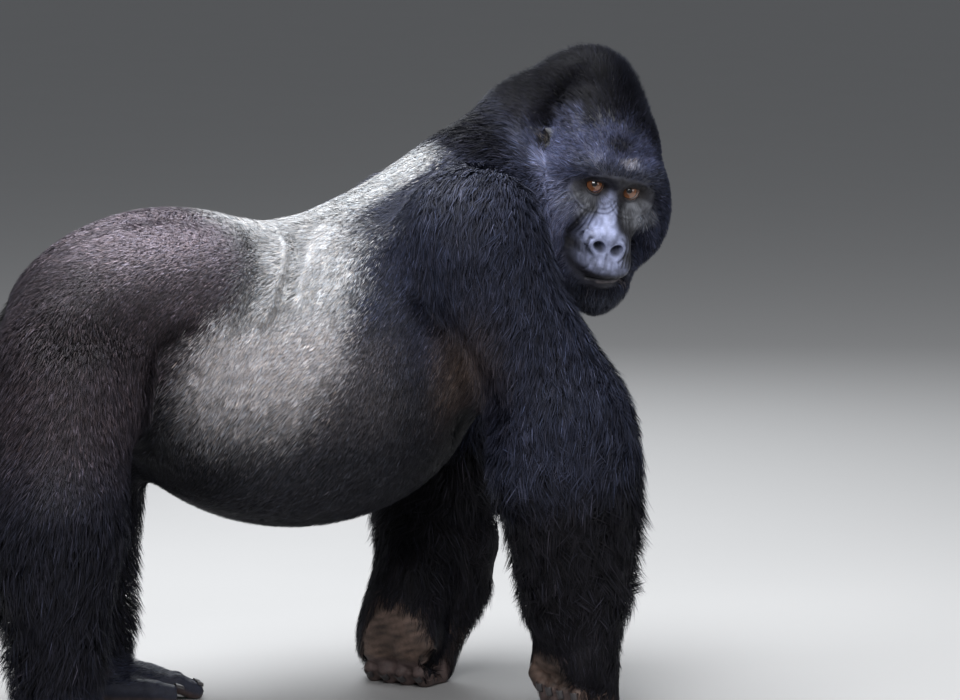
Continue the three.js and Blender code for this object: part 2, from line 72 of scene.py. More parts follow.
HEAD_AXES = turned_axes(-94, 13, 12.8)  # the brow, eyes and nose, which lean further over
SKULL_AXES = turned_axes(-91, 13, 5)  # the skull, muzzle and jaw, which lean less


def box_centre(node):
    low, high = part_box(node)
    return np.array(low + high) / 2


EYE_CENTRES = {RIGHT: box_centre("eye_right"), LEFT: box_centre("eye_left")}
HEAD_ORIGIN = (EYE_CENTRES[RIGHT] + EYE_CENTRES[LEFT]) / 2 + SKULL_AXES[:, 1] * EYE_FORWARD * MM
MIDLINE = HEAD_ORIGIN[0] - HEAD_LEFT
RUMP = HEAD_ORIGIN[1] + HEAD_FORWARD


def at(forward, left, up):
    """A place given in the body's axes, in the frame's axes."""
    return np.array([left + MIDLINE, RUMP - forward, up])


def body_places(points):
    """Forward, left and up of points given in the frame's axes."""
    return RUMP - points[:, 1], points[:, 0] - MIDLINE, points[:, 2]


def on_side(points, side):
    """Which points, given in the frame's axes, are on one side of the midline."""
    return points[:, 0] * side > MIDLINE * side


def head_places(points):
    """Forward, left and up in the head's frame, in mm, of points in the frame's axes."""
    local = (points - HEAD_ORIGIN) @ HEAD_AXES / MM
    return np.stack([-local[:, 1], local[:, 0], local[:, 2]], axis=1)


def head_vectors(local):
    """Turns vectors of forward, left and up in the head's frame into the frame's axes."""
    local = np.atleast_2d(np.asarray(local, float))
    return np.stack([local[:, 1], -local[:, 0], local[:, 2]], axis=1) @ HEAD_AXES.T


def from_head(local):
    return head_vectors(local) * MM + HEAD_ORIGIN


def upright_places(points, origin, turn):
    """Forward, left and up in mm, in an upright frame at origin, turned to the left by turn."""
    cosine, sine = math.cos(turn), math.sin(turn)
    x, y, z = ((points - origin) / MM).T
    return np.stack([sine * x - cosine * y, cosine * x + sine * y, z], axis=1)


def from_upright(local, origin, turn):
    cosine, sine = math.cos(turn), math.sin(turn)
    f, l, u = local.T
    return np.stack([cosine * l + sine * f, sine * l - cosine * f, u], axis=1) * MM + origin


# ---- Small sums ------------------------------------------------------------------------------
def unit(vectors):
    return vectors / np.maximum(np.linalg.norm(vectors, axis=-1, keepdims=True), 1e-12)


def ramp(x, low, high):
    """0 below low, 1 above high, and smooth between them. low may be the larger."""
    t = np.clip((x - low) / (high - low), 0, 1)
    return t * t * (3 - 2 * t)


def bell(x, middle, half_width):
    return np.exp(-(((x - middle) / half_width) ** 2))


def mixed(a, b, share):
    return a + (np.asarray(b) - a) * share[:, None]


def filled(colour, count):
    """The same colour for each of count points."""
    return np.tile(np.array(colour), (count, 1))


def swung(a, b, turn):
    """Two lengths at right angles, as seen from axes turned by an angle."""
    cosine, sine = math.cos(turn), math.sin(turn)
    return a * cosine + b * sine, b * cosine - a * sine


def across(vectors, normals):
    """The part of each vector that lies in the plane of the surface."""
    return vectors - normals * np.sum(vectors * normals, axis=1, keepdims=True)


def ripple(points, size, seed):
    """A smooth random field of about -1 to 1, whose bumps are about size across."""
    rng = np.random.default_rng(seed)
    waves = unit(rng.normal(size=(9, 3))) * rng.uniform(0.6, 1.5, (9, 1)) * 2 * math.pi / size / 2
    phases = rng.uniform(0, 2 * math.pi, 9)
    return np.sin(points @ waves.T + phases).sum(axis=1) / 3.2


# ---- Triangle meshes as arrays ---------------------------------------------------------------
def mesh_arrays(mesh):
    mesh.calc_loop_triangles()
    points = np.empty(len(mesh.vertices) * 3)
    mesh.vertices.foreach_get("co", points)
    tris = np.empty(len(mesh.loop_triangles) * 3, np.int32)
    mesh.loop_triangles.foreach_get("vertices", tris)
    return points.reshape(-1, 3), tris.reshape(-1, 3).astype(np.int64)


def mesh_from(name, points, tris):
    mesh = bpy.data.meshes.new(name)
    mesh.vertices.add(len(points))
    mesh.vertices.foreach_set("co", np.asarray(points, np.float32).ravel())
    mesh.loops.add(len(tris) * 3)
    mesh.loops.foreach_set("vertex_index", np.asarray(tris, np.int32).ravel())
    mesh.polygons.add(len(tris))
    mesh.polygons.foreach_set("loop_start", np.arange(0, len(tris) * 3, 3, dtype=np.int32))
    mesh.update(calc_edges=True)
    mesh.validate()
    return mesh


def added(name, mesh, *materials):
    piece = bpy.data.objects.new(name, mesh)
    bpy.context.scene.collection.objects.link(piece)
    for material in materials:
        mesh.materials.append(material)
    return piece


def paint(mesh, colours):
    """Stores a colour for each vertex under the name that the materials read."""
    rgba = np.ones((len(mesh.vertices), 4), np.float32)
    rgba[:, :3] = np.clip(colours, 0, 1)
    layer = mesh.color_attributes.new("MarkingAndLight", "FLOAT_COLOR", "POINT")
    layer.data.foreach_set("color", rgba.ravel())


def edges_of(tris, count):
    pairs = np.sort(tris[:, [[0, 1], [1, 2], [2, 0]]], axis=2)
    keys, where = np.unique(pairs[..., 0] * count + pairs[..., 1], return_inverse=True)
    return keys // count, keys % count, where.reshape(-1, 3)


def normals_of(points, tris):
    a, b, c = (points[tris[:, k]] for k in range(3))
    faces = np.cross(b - a, c - a)
    total = np.zeros_like(points)
    for axis in range(3):
        for corner in range(3):
            total[:, axis] += np.bincount(tris[:, corner], faces[:, axis], len(points))
    return unit(total)


def relaxed(values, tris, share, rounds):
    """Each vertex moves by its share towards the average of its neighbours, several times."""
    count = len(values)
    a, b, _ = edges_of(tris, count)
    degree = np.maximum(np.bincount(a, minlength=count) + np.bincount(b, minlength=count), 1)
    share = np.broadcast_to(share, count)
    values = values.copy()
    for _ in range(rounds):
        for axis in range(values.shape[1]):
            one = values[:, axis]
            total = np.bincount(a, one[b], count) + np.bincount(b, one[a], count)
            values[:, axis] = one + share * (total / degree - one)
    return values


def refined(points, tris, fields, wanted):
    """Halves every edge longer than wanted allows at its middle, until none is left."""
    for _ in range(7):
        a, b, where = edges_of(tris, len(points))
        middle = (points[a] + points[b]) / 2
        split = np.linalg.norm(points[a] - points[b], axis=1) > wanted(middle)
        if not split.any():
            break
        number = np.cumsum(split) - 1 + len(points)
        points = np.concatenate([points, middle[split]])
        fields = np.concatenate([fields, (fields[a] + fields[b])[split] / 2])
        cut = split[where]
        new = number[where]
        parts = [tris[cut.sum(axis=1) == 0]]
        for turn in range(3):
            one, two, three = (turn + k for k in (0, 1, 2))
            p, q, r = (tris[:, k % 3] for k in (one, two, three))
            pq, qr, rp = (new[:, k % 3] for k in (one, two, three))
            has_pq, has_qr, has_rp = (cut[:, k % 3] for k in (one, two, three))
            single = has_pq & ~has_qr & ~has_rp
            double = has_pq & has_qr & ~has_rp
            for chosen, corners in (
                (single, ((p, pq, r), (pq, q, r))),
                (double, ((p, pq, r), (pq, qr, r), (pq, q, qr))),
            ):
                parts += [np.stack(c, axis=1)[chosen] for c in corners]
            if turn == 0:
                whole = cut.all(axis=1)
                corners = ((p, pq, rp), (pq, q, qr), (rp, qr, r), (pq, qr, rp))
                parts += [np.stack(c, axis=1)[whole] for c in corners]
        tris = np.concatenate(parts)
    return points, tris, fields


# ---- Rounded shapes, as distances ------------------------------------------------------------
# Each takes places in the head's frame, in mm, and is negative inside its shape.
def egg(centre, sizes):
    centre, sizes = np.array(centre, float), np.array(sizes, float)

    def distance(p):
        scaled = (p - centre) / sizes
        near = np.linalg.norm(scaled, axis=1)
        slope = np.linalg.norm(scaled / sizes, axis=1)
        return near * (near - 1) / np.maximum(slope, 1e-9)

    return distance


def rod(a, b, ra, rb):
    a, b = np.array(a, float), np.array(b, float)
    span = b - a

    def distance(p):
        share = np.clip((p - a) @ span / (span @ span), 0, 1)
        return np.linalg.norm(p - a - share[:, None] * span, axis=1) - (ra + (rb - ra) * share)

    return distance


def melt(softness, *shapes):
    def distance(p):
        total = shapes[0](p)
        for shape in shapes[1:]:
            other = shape(p)
            overlap = np.maximum(softness - np.abs(total - other), 0) / softness
            total = np.minimum(total, other) - overlap * overlap * softness / 4
        return total

    return distance


def scoop(softness, shape, *tools):
    return lambda p: -melt(softness, lambda q: -shape(q), *tools)(p)


def both_sides(make):
    return [make(side) for side in SIDES]


def skull_places(local):
    """Places of the head's frame in the skull's frame, which leans less."""
    x, y, z = (head_vectors(local) @ SKULL_AXES).T
    return np.stack([-y, x, z], axis=1)


def on_skull(shape):
    """The same shape in the skull's frame."""
    return lambda p: shape(skull_places(p))


# ---- The head's shape ------------------------------------------------------------------------
def skull_shape():
    temples = both_sides(lambda s: egg((-78, 56 * s, 32), (70, 42, 66)))
    braincase = egg((-100, 0, 40), (112, 88, 92))
    forehead = egg((-58, 0, 74), (72, 76, 80))
    crest = egg((-128, 0, 122), (100, 70, 90))
    occiput = egg((-170, 0, 50), (80, 86, 115))
    return melt(50, braincase, forehead, crest, occiput, *temples)


def nose_shape():
    bridge = egg((8, 0, -28), (27, 24, 50))
    slope = rod((12, 0, -24), (40, 0, -62), 17, 21)
    tip = egg((58, 0, -74), (15, 13, 14))
    septum = rod((60, 0, -76), (60, 0, -100), 6, 6)
    wings = []
    for s in SIDES:
        wings += [
            egg((44, 20 * s, -84), (22, 21, 20)),
            rod((56, 7 * s, -68), (54, 24 * s, -74), 9, 9),
            rod((54, 24 * s, -74), (49, 32 * s, -90), 9, 7),
            rod((49, 32 * s, -90), (52, 16 * s, -105), 7, 5),
        ]
    return melt(9, melt(14, bridge, slope), tip, septum, *wings)


def face_shape():
    brow = []
    for s in SIDES:
        brow += [rod((22, 0, 30), (18, 40 * s, 35), 17, 18), rod((18, 40 * s, 35), (-26, 88 * s, 8), 18, 22)]
    muzzle = egg((6, 0, -106), (60, 50, 56))
    upper_lip = egg((38, 0, -128), (39, 44, 27))
    lower_lip = egg((24, 0, -163), (36, 36, 19))
    chin = egg((2, 0, -196), (48, 46, 44))
    cheekbones = both_sides(lambda s: egg((-20, 62 * s, -30), (38, 34, 34)))
    cheeks = both_sides(lambda s: egg((-50, 94 * s, -62), (58, 46, 90)))
    jaws = both_sides(lambda s: rod((0, 28 * s, -176), (-84, 68 * s, -122), 36, 50))
    under_eyes = both_sides(lambda s: egg((-3, 36 * s, -46), (28, 30, 36)))
    throat = egg((-80, 0, -128), (90, 84, 70))
    jaw = on_skull(melt(30, melt(14, melt(26, muzzle, upper_lip), lower_lip), chin, *cheeks, *jaws, throat))
    flesh = melt(30, melt(30, *cheekbones, *under_eyes), jaw)
    return melt(14, flesh, melt(18, *brow), nose_shape())


def head_shape():
    sockets = both_sides(lambda s: egg((24, 35 * s, -2), (14, 25, 15)))
    return scoop(16, melt(34, on_skull(skull_shape()), face_shape()), *sockets)


def settled(local, shape, level, strength, rounds=4):
    """Moves places on the head onto the surface that is level outside a shape, by strength."""
    step = 0.5
    for _ in range(rounds):
        slope = np.stack(
            [(shape(local + e) - shape(local - e)) / (2 * step) for e in np.eye(3) * step], axis=1
        )
        steep = np.maximum(np.sum(slope * slope, axis=1), 0.2)
        move = np.clip((shape(local) - level) / steep, -12, 12)
        local = local - slope * (move * strength)[:, None]
    return local


# ---- Where the head is bare, and how deep its coat is -----------------------------------------
def bareness(local):
    """1 on the bare skin of the face, 0 in the coat, of places on the head."""
    f, l, u = local.T
    eyes = np.hypot(l / 84, (u + 6) / 38)
    muzzle = np.hypot(l / 62, (u + 86) / 86)
    edge = np.minimum(eyes, muzzle)
    return ramp(edge, 1.16, 0.84) * ramp(f, -52, -30)


def head_depth(local):
    """Depth of the coat on the head, in metres."""
    f, l, u = local.T
    crest = ramp(u - 0.5 * f, 105, 190)
    depth = 5 + 17 * crest + 8 * ramp(f, -40, -110) * (1 - crest)
    depth += 7 * ramp(np.abs(l), 60, 105) * ramp(u, 30, -30) + 8 * ramp(u, -150, -215)
    bare = bareness(local)
    return (depth * (1 - bare) + bare) * MM


# ---- Strokes of the sculptor on the face -----------------------------------------------------
def off_line(spots, line):
    """How far each flat spot is from a line of points."""
    line = np.array(line, float)
    nearest = np.full(len(spots), 1e9)
    for a, b in zip(line[:-1], line[1:]):
        span = b - a
        share = np.clip((spots - a) @ span / (span @ span), 0, 1)
        nearest = np.minimum(nearest, np.linalg.norm(spots - a - share[:, None] * span, axis=1))
    return nearest


def nearness(local, line, width):
    """1 on a line of (left, up) points seen from the front, falling to 0 within about two widths."""
    return bell(off_line(local[:, 1:], line), 0, width) * ramp(local[:, 0], -30, -10)


def arc(centre, sizes, start, end, steps=9):
    """Points of (left, up) along part of an ellipse, from one angle to another, in degrees."""
    angles = np.radians(np.linspace(start, end, steps))
    return [(centre[0] + sizes[0] * math.cos(a), centre[1] + sizes[1] * math.sin(a)) for a in angles]


def mouth_creases():
    """The grooves and ridges round the mouth, in the skull's frame: line, width and height, in mm."""
    lines = [
        ([(-36, -152), (-20, -149), (3, -146), (28, -145), (44, -147)], 1.8, -4.2),
        ([(-22, -156), (3, -152), (31, -152)], 3.5, 1.8),
        ([(-36, -138), (0, -136), (36, -138)], 6.0, 0.8),
        ([(-30, -169), (0, -171), (30, -169)], 4.0, -1.6),
    ]
    for s in SIDES:
        for k in range(5):
            lines.append(([(s * (6 + 8 * k), -112), (s * (8 + 9 * k), -137)], 1.5, -0.9))
    return lines


def face_creases():
    """The grooves of the nose, the cheeks and round the eyes: line, width and height, in mm."""
    lines = [
        ([(0, -102), (0, -128)], 2.6, -1.6),
        ([(0, 22), (0, 50)], 5.0, -2.0),
    ]
    for s in SIDES:
        for k in range(4):
            out = 24 + 7 * k
            fold = [(out - 4, -20 - 6 * k), (out + 4, -54), (out + 12, -86), (out + 9, -118)]
            lines.append(([(s * left, up) for left, up in fold], 1.8, -2.8 + 0.3 * k))
        for k in range(4):
            start, end = (200, 335) if s > 0 else (205, 340)
            lines.append((arc((s * 35, -2), (25 + 7 * k, 21 + 7 * k), start, end), 1.7, -1.7))
        for k in range(3):
            lines.append(([(s * 2, -6 - 9 * k), (s * 12, -3 - 9 * k), (s * 22, -9 - 9 * k)], 1.5, -0.6))
            lines.append(([(s * (54 + 7 * k), -26 - 8 * k), (s * (40 + 5 * k), -52 - 8 * k)], 2.0, -1.5))
        lines.append((arc((s * 34, -2), (29, 23), 35, 150), 2.4, -1.6))
        lines.append(([(s * 10, 19), (s * 30, 24), (s * 52, 17)], 3.0, -1.4))
        lines.append(([(s * 22, -70), (s * 35, -82), (s * 36, -98), (s * 24, -110)], 2.2, -2.0))
    return lines


def crease_lift(local):
    """How far the grooves and ridges raise or sink the face, in mm."""
    lift = np.zeros(len(local))
    for places, lines in ((local, face_creases()), (skull_places(local), mouth_creases())):
        for line, width, height in lines:
            lift += nearness(places, line, width) * height
    return lift


EYE_RADIUS = 18.5  # mm
EYE_SINK = 4.0  # the ball's centre is this far behind the solid's, mm
EYE_HALF_WIDTH, EYE_HALF_UP, EYE_HALF_DOWN = 68, 34, 41  # half the opening of the lids, in degrees
EYE_SLANT = math.radians(7)  # the outer corner is the higher one
EYE_TURN = math.radians(8)  # each opening of the lids faces this far out
LID_REACH = 44  # how far from the ball's centre the lids are formed, mm
NOSTRIL = {"out": 15.5, "up": -92, "sizes": (13, 10), "depth": 20, "slant": math.radians(38)}


def eye_centre(side):
    return np.array([EYE_FORWARD - EYE_SINK, side * EYE_OUT, 0.0])


def lids_formed(local, side):
    """Closes the skin round one eye: it dips behind the ball in the opening and swells into the lids."""
    away = local - eye_centre(side)
    reach = np.linalg.norm(away, axis=1)
    front, out, up = away[:, 0], away[:, 1] * side, away[:, 2]
    front, out = swung(front, out, EYE_TURN)
    out, up = swung(out, up, EYE_SLANT)
    wide = np.degrees(np.arctan2(out, front)) / EYE_HALF_WIDTH
    high = np.degrees(np.arctan2(up, np.hypot(front, out)))
    high = high / np.where(up > 0, EYE_HALF_UP, EYE_HALF_DOWN)
    opening = np.hypot(wide, high * (1 + 0.25 * wide**2))
    target = EYE_RADIUS - 3.2 + 5.0 * ramp(opening, 0.9, 1.04) + 1.4 * bell(opening, 1.4, 0.22)
    fold_above = 1.5 * bell(opening, 1.82, 0.1) * ramp(up, 0, 4)
    fold_below = 0.9 * bell(opening, 1.75, 0.1) * ramp(up, 0, -4)
    target -= fold_above + fold_below
    share = np.where(opening < 1.3, 1, ramp(opening, 2.4, 1.3))
    share = share * ramp(reach, LID_REACH, 34) * ramp(front, -6, 2)
    settled_at = reach + (target - reach) * share
    covering = (EYE_RADIUS + 1.6) * ramp(opening, 1.0, 1.04)
    settled_at = np.where(reach < LID_REACH, np.maximum(settled_at, covering), settled_at)
    return local + away * (settled_at / np.maximum(reach, 1) - 1)[:, None]


def nostril_zone(local, side):
    """1 inside one nostril, and how far each place is from its middle, 1 on its edge."""
    out = local[:, 1] * side - NOSTRIL["out"]
    up = local[:, 2] - NOSTRIL["up"]
    along, over = swung(out, up, NOSTRIL["slant"])
    from_centre = np.hypot(along / NOSTRIL["sizes"][0], over / NOSTRIL["sizes"][1])
    return ramp(from_centre, 1.05, 0.5) * ramp(local[:, 0], 30, 42), from_centre


def nostril_formed(local, side):
    """Hollows out one nostril, up and back into the nose, and raises the rim round it."""
    inside, from_centre = nostril_zone(local, side)
    rim = bell(from_centre, 1.35, 0.3) * ramp(local[:, 0], 30, 42) * ramp(local[:, 1] * side, 8, 20)
    inwards = np.array([-0.9, 0, 0.42]) * NOSTRIL["depth"]
    return local + inside[:, None] * inwards + rim[:, None] * np.array([1.0, 0, 0])


EAR = {"forward": -74, "up": 38, "sizes": (12, 20), "rim": 14, "hollow": 2, "lean": math.radians(12)}


def ear_zone(local, side):
    """How far each place is from an ear's middle, 1 on its rim; how far ahead of it; 1 on its side."""
    f, u = swung(local[:, 0] - EAR["forward"], local[:, 2] - EAR["up"], EAR["lean"])
    from_middle = np.hypot(f / EAR["sizes"][0], u / EAR["sizes"][1])
    off_middle = local[:, 1] * side
    return from_middle, f, ramp(off_middle, 55, 75) * ramp(off_middle, 128, 118)


def ear_formed(local, side):
    """Raises the curled rim of one ear off the side of the head, open towards the face."""
    from_middle, ahead, here = ear_zone(local, side)
    rim = bell(from_middle, 1.0, 0.24) * ramp(ahead, 15, 4)
    hollow = ramp(from_middle, 0.95, 0.4)
    tragus = 0.5 * bell(from_middle, 0.95, 0.3) * ramp(ahead, 6, 14) * bell(local[:, 2], EAR["up"] - 8, 9)
    lift = (EAR["rim"] * (rim + tragus) - EAR["hollow"] * hollow) * here
    return local + lift[:, None] * np.array([-0.45, side * 0.9, 0.1])


# ---- Hands and feet ----------------------------------------------------------------------------
# Joints are in the body's axes, and the hands and feet are turned about the vertical. mane is the long
# hair behind a wrist: its two ends and their radii. bare_out is how far out the bare palm reaches at
# four heights, bare_top where it ends, and bare_facing how far back skin must face to be bare, none and
# all. palm_up is how far the palm is lifted. curl is where a finger's last joint and tip are, forward,
# and how far its tip rises.
LIMBS = {
    RIGHT: {
        "elbow": (0.863, -0.262, 0.505), "wrist": (0.894, -0.208, 0.200), "mane": None,
        "hand": (0.903, -0.207, 0.176), "hand_turn": math.radians(14),
        "bare_out": (50, 30, 4, 0), "bare_top": -46, "palm_up": 16, "curl": (-24, -38, 34),
        "bare_facing": (-0.40, -0.05),
        "knee": (-0.018, -0.208, 0.392), "ankle": (-0.026, -0.172, 0.0), "foot_turn": math.radians(-10),
    },
    LEFT: {
        "elbow": (0.832, 0.262, 0.488), "wrist": (0.745, 0.166, 0.200),
        "mane": ((0.846, 0.152, 0.245), (0.768, 0.152, 0.030), 42, 13),
        "hand": (0.708, 0.152, 0.176), "hand_turn": math.radians(38),
        "bare_out": (58, 42, 18, 2), "bare_top": 4, "palm_up": 0, "curl": (-14, -32, 12),
        "bare_facing": (-0.05, 0.30),
        "knee": (0.130, 0.205, 0.392), "ankle": (0.128, 0.160, 0.0), "foot_turn": math.radians(2),
    },
}
FINGERS = [(-54, 0.92), (-18, 1.02), (18, 1.02), (54, 0.94)]  # how far out, and size
FINGER_RADIUS = 17
TOES = [(-24, 186, 16.5), (2, 190, 16), (28, 178, 15.5), (52, 156, 14.5)]  # out, reach, radius
BIG_TOE = (132, -70, 19)
SOLE_SINK = 3


def finger_joints(out, size, ground, curl):
    last, tip, rise = curl
    return [
        (24, out * 0.92, -100), (32, out, ground), (last * size, out * 0.98, ground),
        (tip * size, out * 0.95, ground + rise),
    ]


def nearest_of(shapes):
    return lambda p: np.min([shape(p) for shape in shapes], axis=0)


def hand_shape(side, limb):
    """The flesh of a forearm's end and a hand on its knuckles, in the hand's own frame."""
    ground = -limb["hand"][2] / MM + FINGER_RADIUS - SOLE_SINK
    joints = np.array([at(*limb["elbow"]), at(*limb["wrist"])])
    elbow, wrist_joint = upright_places(joints, at(*limb["hand"]), limb["hand_turn"])
    lifted = limb["palm_up"]
    palm = egg((0, 0, -76 + lifted), (42, 78, 76))
    heel = egg((-18, 0, -48 + lifted), (40, 60, 56))
    pads = both_sides(lambda s: egg((-30, s * 36, -96 + 1.6 * lifted), (26, 36, 44 - 0.6 * lifted)))
    wrist = egg((2, 0, 8), (48, 56, 60))
    thumb = melt(5, rod((-24, -56 * side, -60), (-34, -74 * side, -112), 20, 15),
                 rod((-34, -74 * side, -112), (-22, -72 * side, -148), 15, 12))
    fingers = []
    for out, size in FINGERS:
        knuckle, middle, last, tip = finger_joints(out, size, ground, limb["curl"])
        radius = FINGER_RADIUS * size
        fingers.append(melt(
            5, rod(knuckle, middle, radius * 1.12, radius), rod(middle, last, radius, radius * 0.96),
            rod(last, tip, radius * 0.94, radius * 0.78),
        ))
    arm = [rod(elbow, wrist_joint, 110, 58)]
    if limb["mane"]:
        start, end, start_radius, end_radius = limb["mane"]
        places = upright_places(np.array([at(*start), at(*end)]), at(*limb["hand"]), limb["hand_turn"])
        arm.append(rod(*places, start_radius, end_radius))
    return melt(40, *arm, melt(9, melt(22, palm, heel, wrist, *pads), thumb, nearest_of(fingers)))


def foot_shape(side, limb):
    """The flesh of a shank's end and a flat foot, in the foot's own frame."""
    knee = upright_places(at(*limb["knee"])[None], at(*limb["ankle"]), limb["foot_turn"])[0]
    shank = rod(knee, (2, 0, 100), 86, 46)
    ankle = egg((-4, 0, 84), (54, 44, 50))
    heel = egg((-42, 0, 36), (46, 38, 41))
    instep = rod((-10, 0, 58), (96, 6 * side, 34), 40, 29)
    sole = egg((40, 4 * side, 26), (98, 48, 29))
    ball = egg((112, 12 * side, 24), (40, 52, 25))
    toes = []
    for out, reach, radius in TOES:
        knuckle, tip = (reach - 34, out * side, 30), (reach, out * side, radius - SOLE_SINK)
        base = (112, out * 0.86 * side, 26)
        toes.append(melt(6, rod(base, knuckle, 18, radius), rod(knuckle, tip, radius, radius * 0.92)))
    toes.append(melt(
        8, rod((38, -34 * side, 28), (92, -66 * side, 27), 26, 20),
        rod((92, -66 * side, 27), (BIG_TOE[0], BIG_TOE[1] * side, BIG_TOE[2]), 20, 18),
    ))
    return melt(40, shank, melt(10, melt(28, ankle, heel, instep, sole, ball), nearest_of(toes)))


def limb_ends(side):
    """Each hand and foot of one side: shape, origin, turn, where it takes over, and what it is made of."""
    limb = LIMBS[side]
    return [
        (hand_shape(side, limb), at(*limb["hand"]), limb["hand_turn"], (0.44, 0.20), ("forearm", "hand")),
        (foot_shape(side, limb), at(*limb["ankle"]), limb["foot_turn"], (0.30, 0.12), ("shank", "foot")),
    ]


def form_limb_ends(points, tris, shares):
    """Gives the hands and feet their true form, and slims the wrists and ankles under their hair."""
    points = points.copy()
    mine = {side: on_side(points, side) for side in SIDES}
    for pulls in range(4):
        total = np.zeros(len(points))
        for side in SIDES:
            for shape, origin, turn, top, kinds in limb_ends(side):
                strength = ramp(points[:, 2], *top) * ramp(share_of(shares, *kinds), 0.3, 0.9)
                strength = strength * mine[side]
                these = strength > 0
                local = settled(upright_places(points[these], origin, turn), shape, 0, strength[these], 3)
                points[these] = from_upright(local, origin, turn)
                total += strength
        if pulls < 3:
            points = relaxed(points, tris, 0.5 * total, 3)
    return points


# ---- Distance from a surface ----------------------------------------------------------------
def level_set(points, tris, step, reach):
    """A grid of distances from a surface, out to reach steps from it."""
    return openvdb.FloatGrid.createLevelSetFromPolygons(
        points.astype(np.float32),
        triangles=tris.astype(np.uint32),
        transform=openvdb.createLinearTransform(voxelSize=step),
        halfWidth=reach,
    )


class Surface:
    """How far any point is outside a closed surface, and the way out of it."""

    STEP, REACH = 0.006, 0.072  # size of the grid's cells, and how far its distances go, in metres
    MARGIN = 18  # cells round the surface

    def __init__(self, points, tris):
        grid = level_set(points, tris, self.STEP, self.REACH / self.STEP)
        self.low = np.floor(points.min(axis=0) / self.STEP).astype(int) - self.MARGIN
        high = np.ceil(points.max(axis=0) / self.STEP).astype(int) + self.MARGIN
        self.values = np.full(high - self.low, self.REACH, np.float32)
        grid.copyToArray(self.values, ijk=tuple(int(k) for k in self.low))
        self.flat = self.values.ravel()

    def at(self, points):
        place = points / self.STEP - self.low
        place = np.clip(place, 0, np.array(self.values.shape) - 1.001)
        whole = place.astype(np.int64)
        part = place - whole
        _, ny, nz = self.values.shape
        base = (whole[:, 0] * ny + whole[:, 1]) * nz + whole[:, 2]
        total = 0
        for i in (0, 1):
            for j in (0, 1):
                for k in (0, 1):
                    weight = (
                        (part[:, 0] if i else 1 - part[:, 0])
                        * (part[:, 1] if j else 1 - part[:, 1])
                        * (part[:, 2] if k else 1 - part[:, 2])
                    )
                    total = total + weight * self.flat[base + (i * ny + j) * nz + k]
        return total

    def outwards(self, points):
        e = np.eye(3) * self.STEP * 0.7
        return unit(np.stack([self.at(points + d) - self.at(points - d) for d in e], axis=1))


# ---- One skin over the whole body -------------------------------------------------------------
SKIN_STEP = 0.009  # size of the skin's faces on the trunk and limbs
SEAM = 0.0012  # the solids are swollen by this, so that the cuts between them close
KINDS = ["trunk", "neck", "head", "ear", "upper_arm", "forearm", "hand", "thigh", "shank", "foot"]
FLESH = [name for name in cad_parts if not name.startswith("eye")]
EARS = [name for name in FLESH if name.startswith("ear")]


def kind_of(node):
    return KINDS.index(node.removesuffix("_left").removesuffix("_right"))


def joined_flesh():
    """The triangles of all the solids of flesh, and the kind of body part that each belongs to."""
    points, tris, kinds, count = [], [], [], 0
    for name in sorted(set(FLESH) - set(EARS)):
        p, t = mesh_arrays(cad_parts[name].data)
        points.append(p)
        tris.append(t + count)
        kinds.append(np.full(len(t), kind_of(name)))
        count += len(p)
    return np.concatenate(points), np.concatenate(tris), np.concatenate(kinds)


def one_surface(points, tris):
    """A single closed surface round solids that only touch."""
    corners, quads = level_set(points, tris, SKIN_STEP, 3.0).convertToQuads(isovalue=SEAM)
    quads = quads[:, ::-1].astype(np.int64)
    return corners.astype(float), np.concatenate([quads[:, [0, 1, 2]], quads[:, [0, 2, 3]]])


def part_shares(points, tris, flesh):
    """How much each vertex belongs to each kind of body part, fading softly from one to the next."""
    cad_points, cad_tris, cad_kinds = flesh
    tree = BVHTree.FromPolygons(cad_points.tolist(), cad_tris.tolist())
    nearest = np.array([tree.find_nearest(p)[2] for p in points.tolist()])
    shares = np.eye(len(KINDS))[cad_kinds[nearest]]
    return relaxed(shares, tris, 0.6, 12)


def share_of(shares, *kinds):
    return sum(shares[:, KINDS.index(kind)] for kind in kinds)


# Depth of the coat on each part, in metres. The head's and the palms' and soles' are worked out below.
DEPTHS = {
    "trunk": 0.007, "neck": 0.015, "head": 0.012, "ear": 0.002, "upper_arm": 0.015,
    "forearm": 0.028, "hand": 0.005, "thigh": 0.010, "shank": 0.022, "foot": 0.004,
}


def coat_depth(points, normals, shares):
    depth = shares @ np.array([DEPTHS[kind] for kind in KINDS])
    head = share_of(shares, "head")
    depth = depth * (1 - head) + head_depth(head_places(points)) * head
    under = share_of(shares, "hand", "foot") * ramp(normals[:, 2], -0.2, -0.7)
    return depth * (1 - ramp(under, 0.2, 0.8)) * ramp(points[:, 2], 0.001, 0.02)


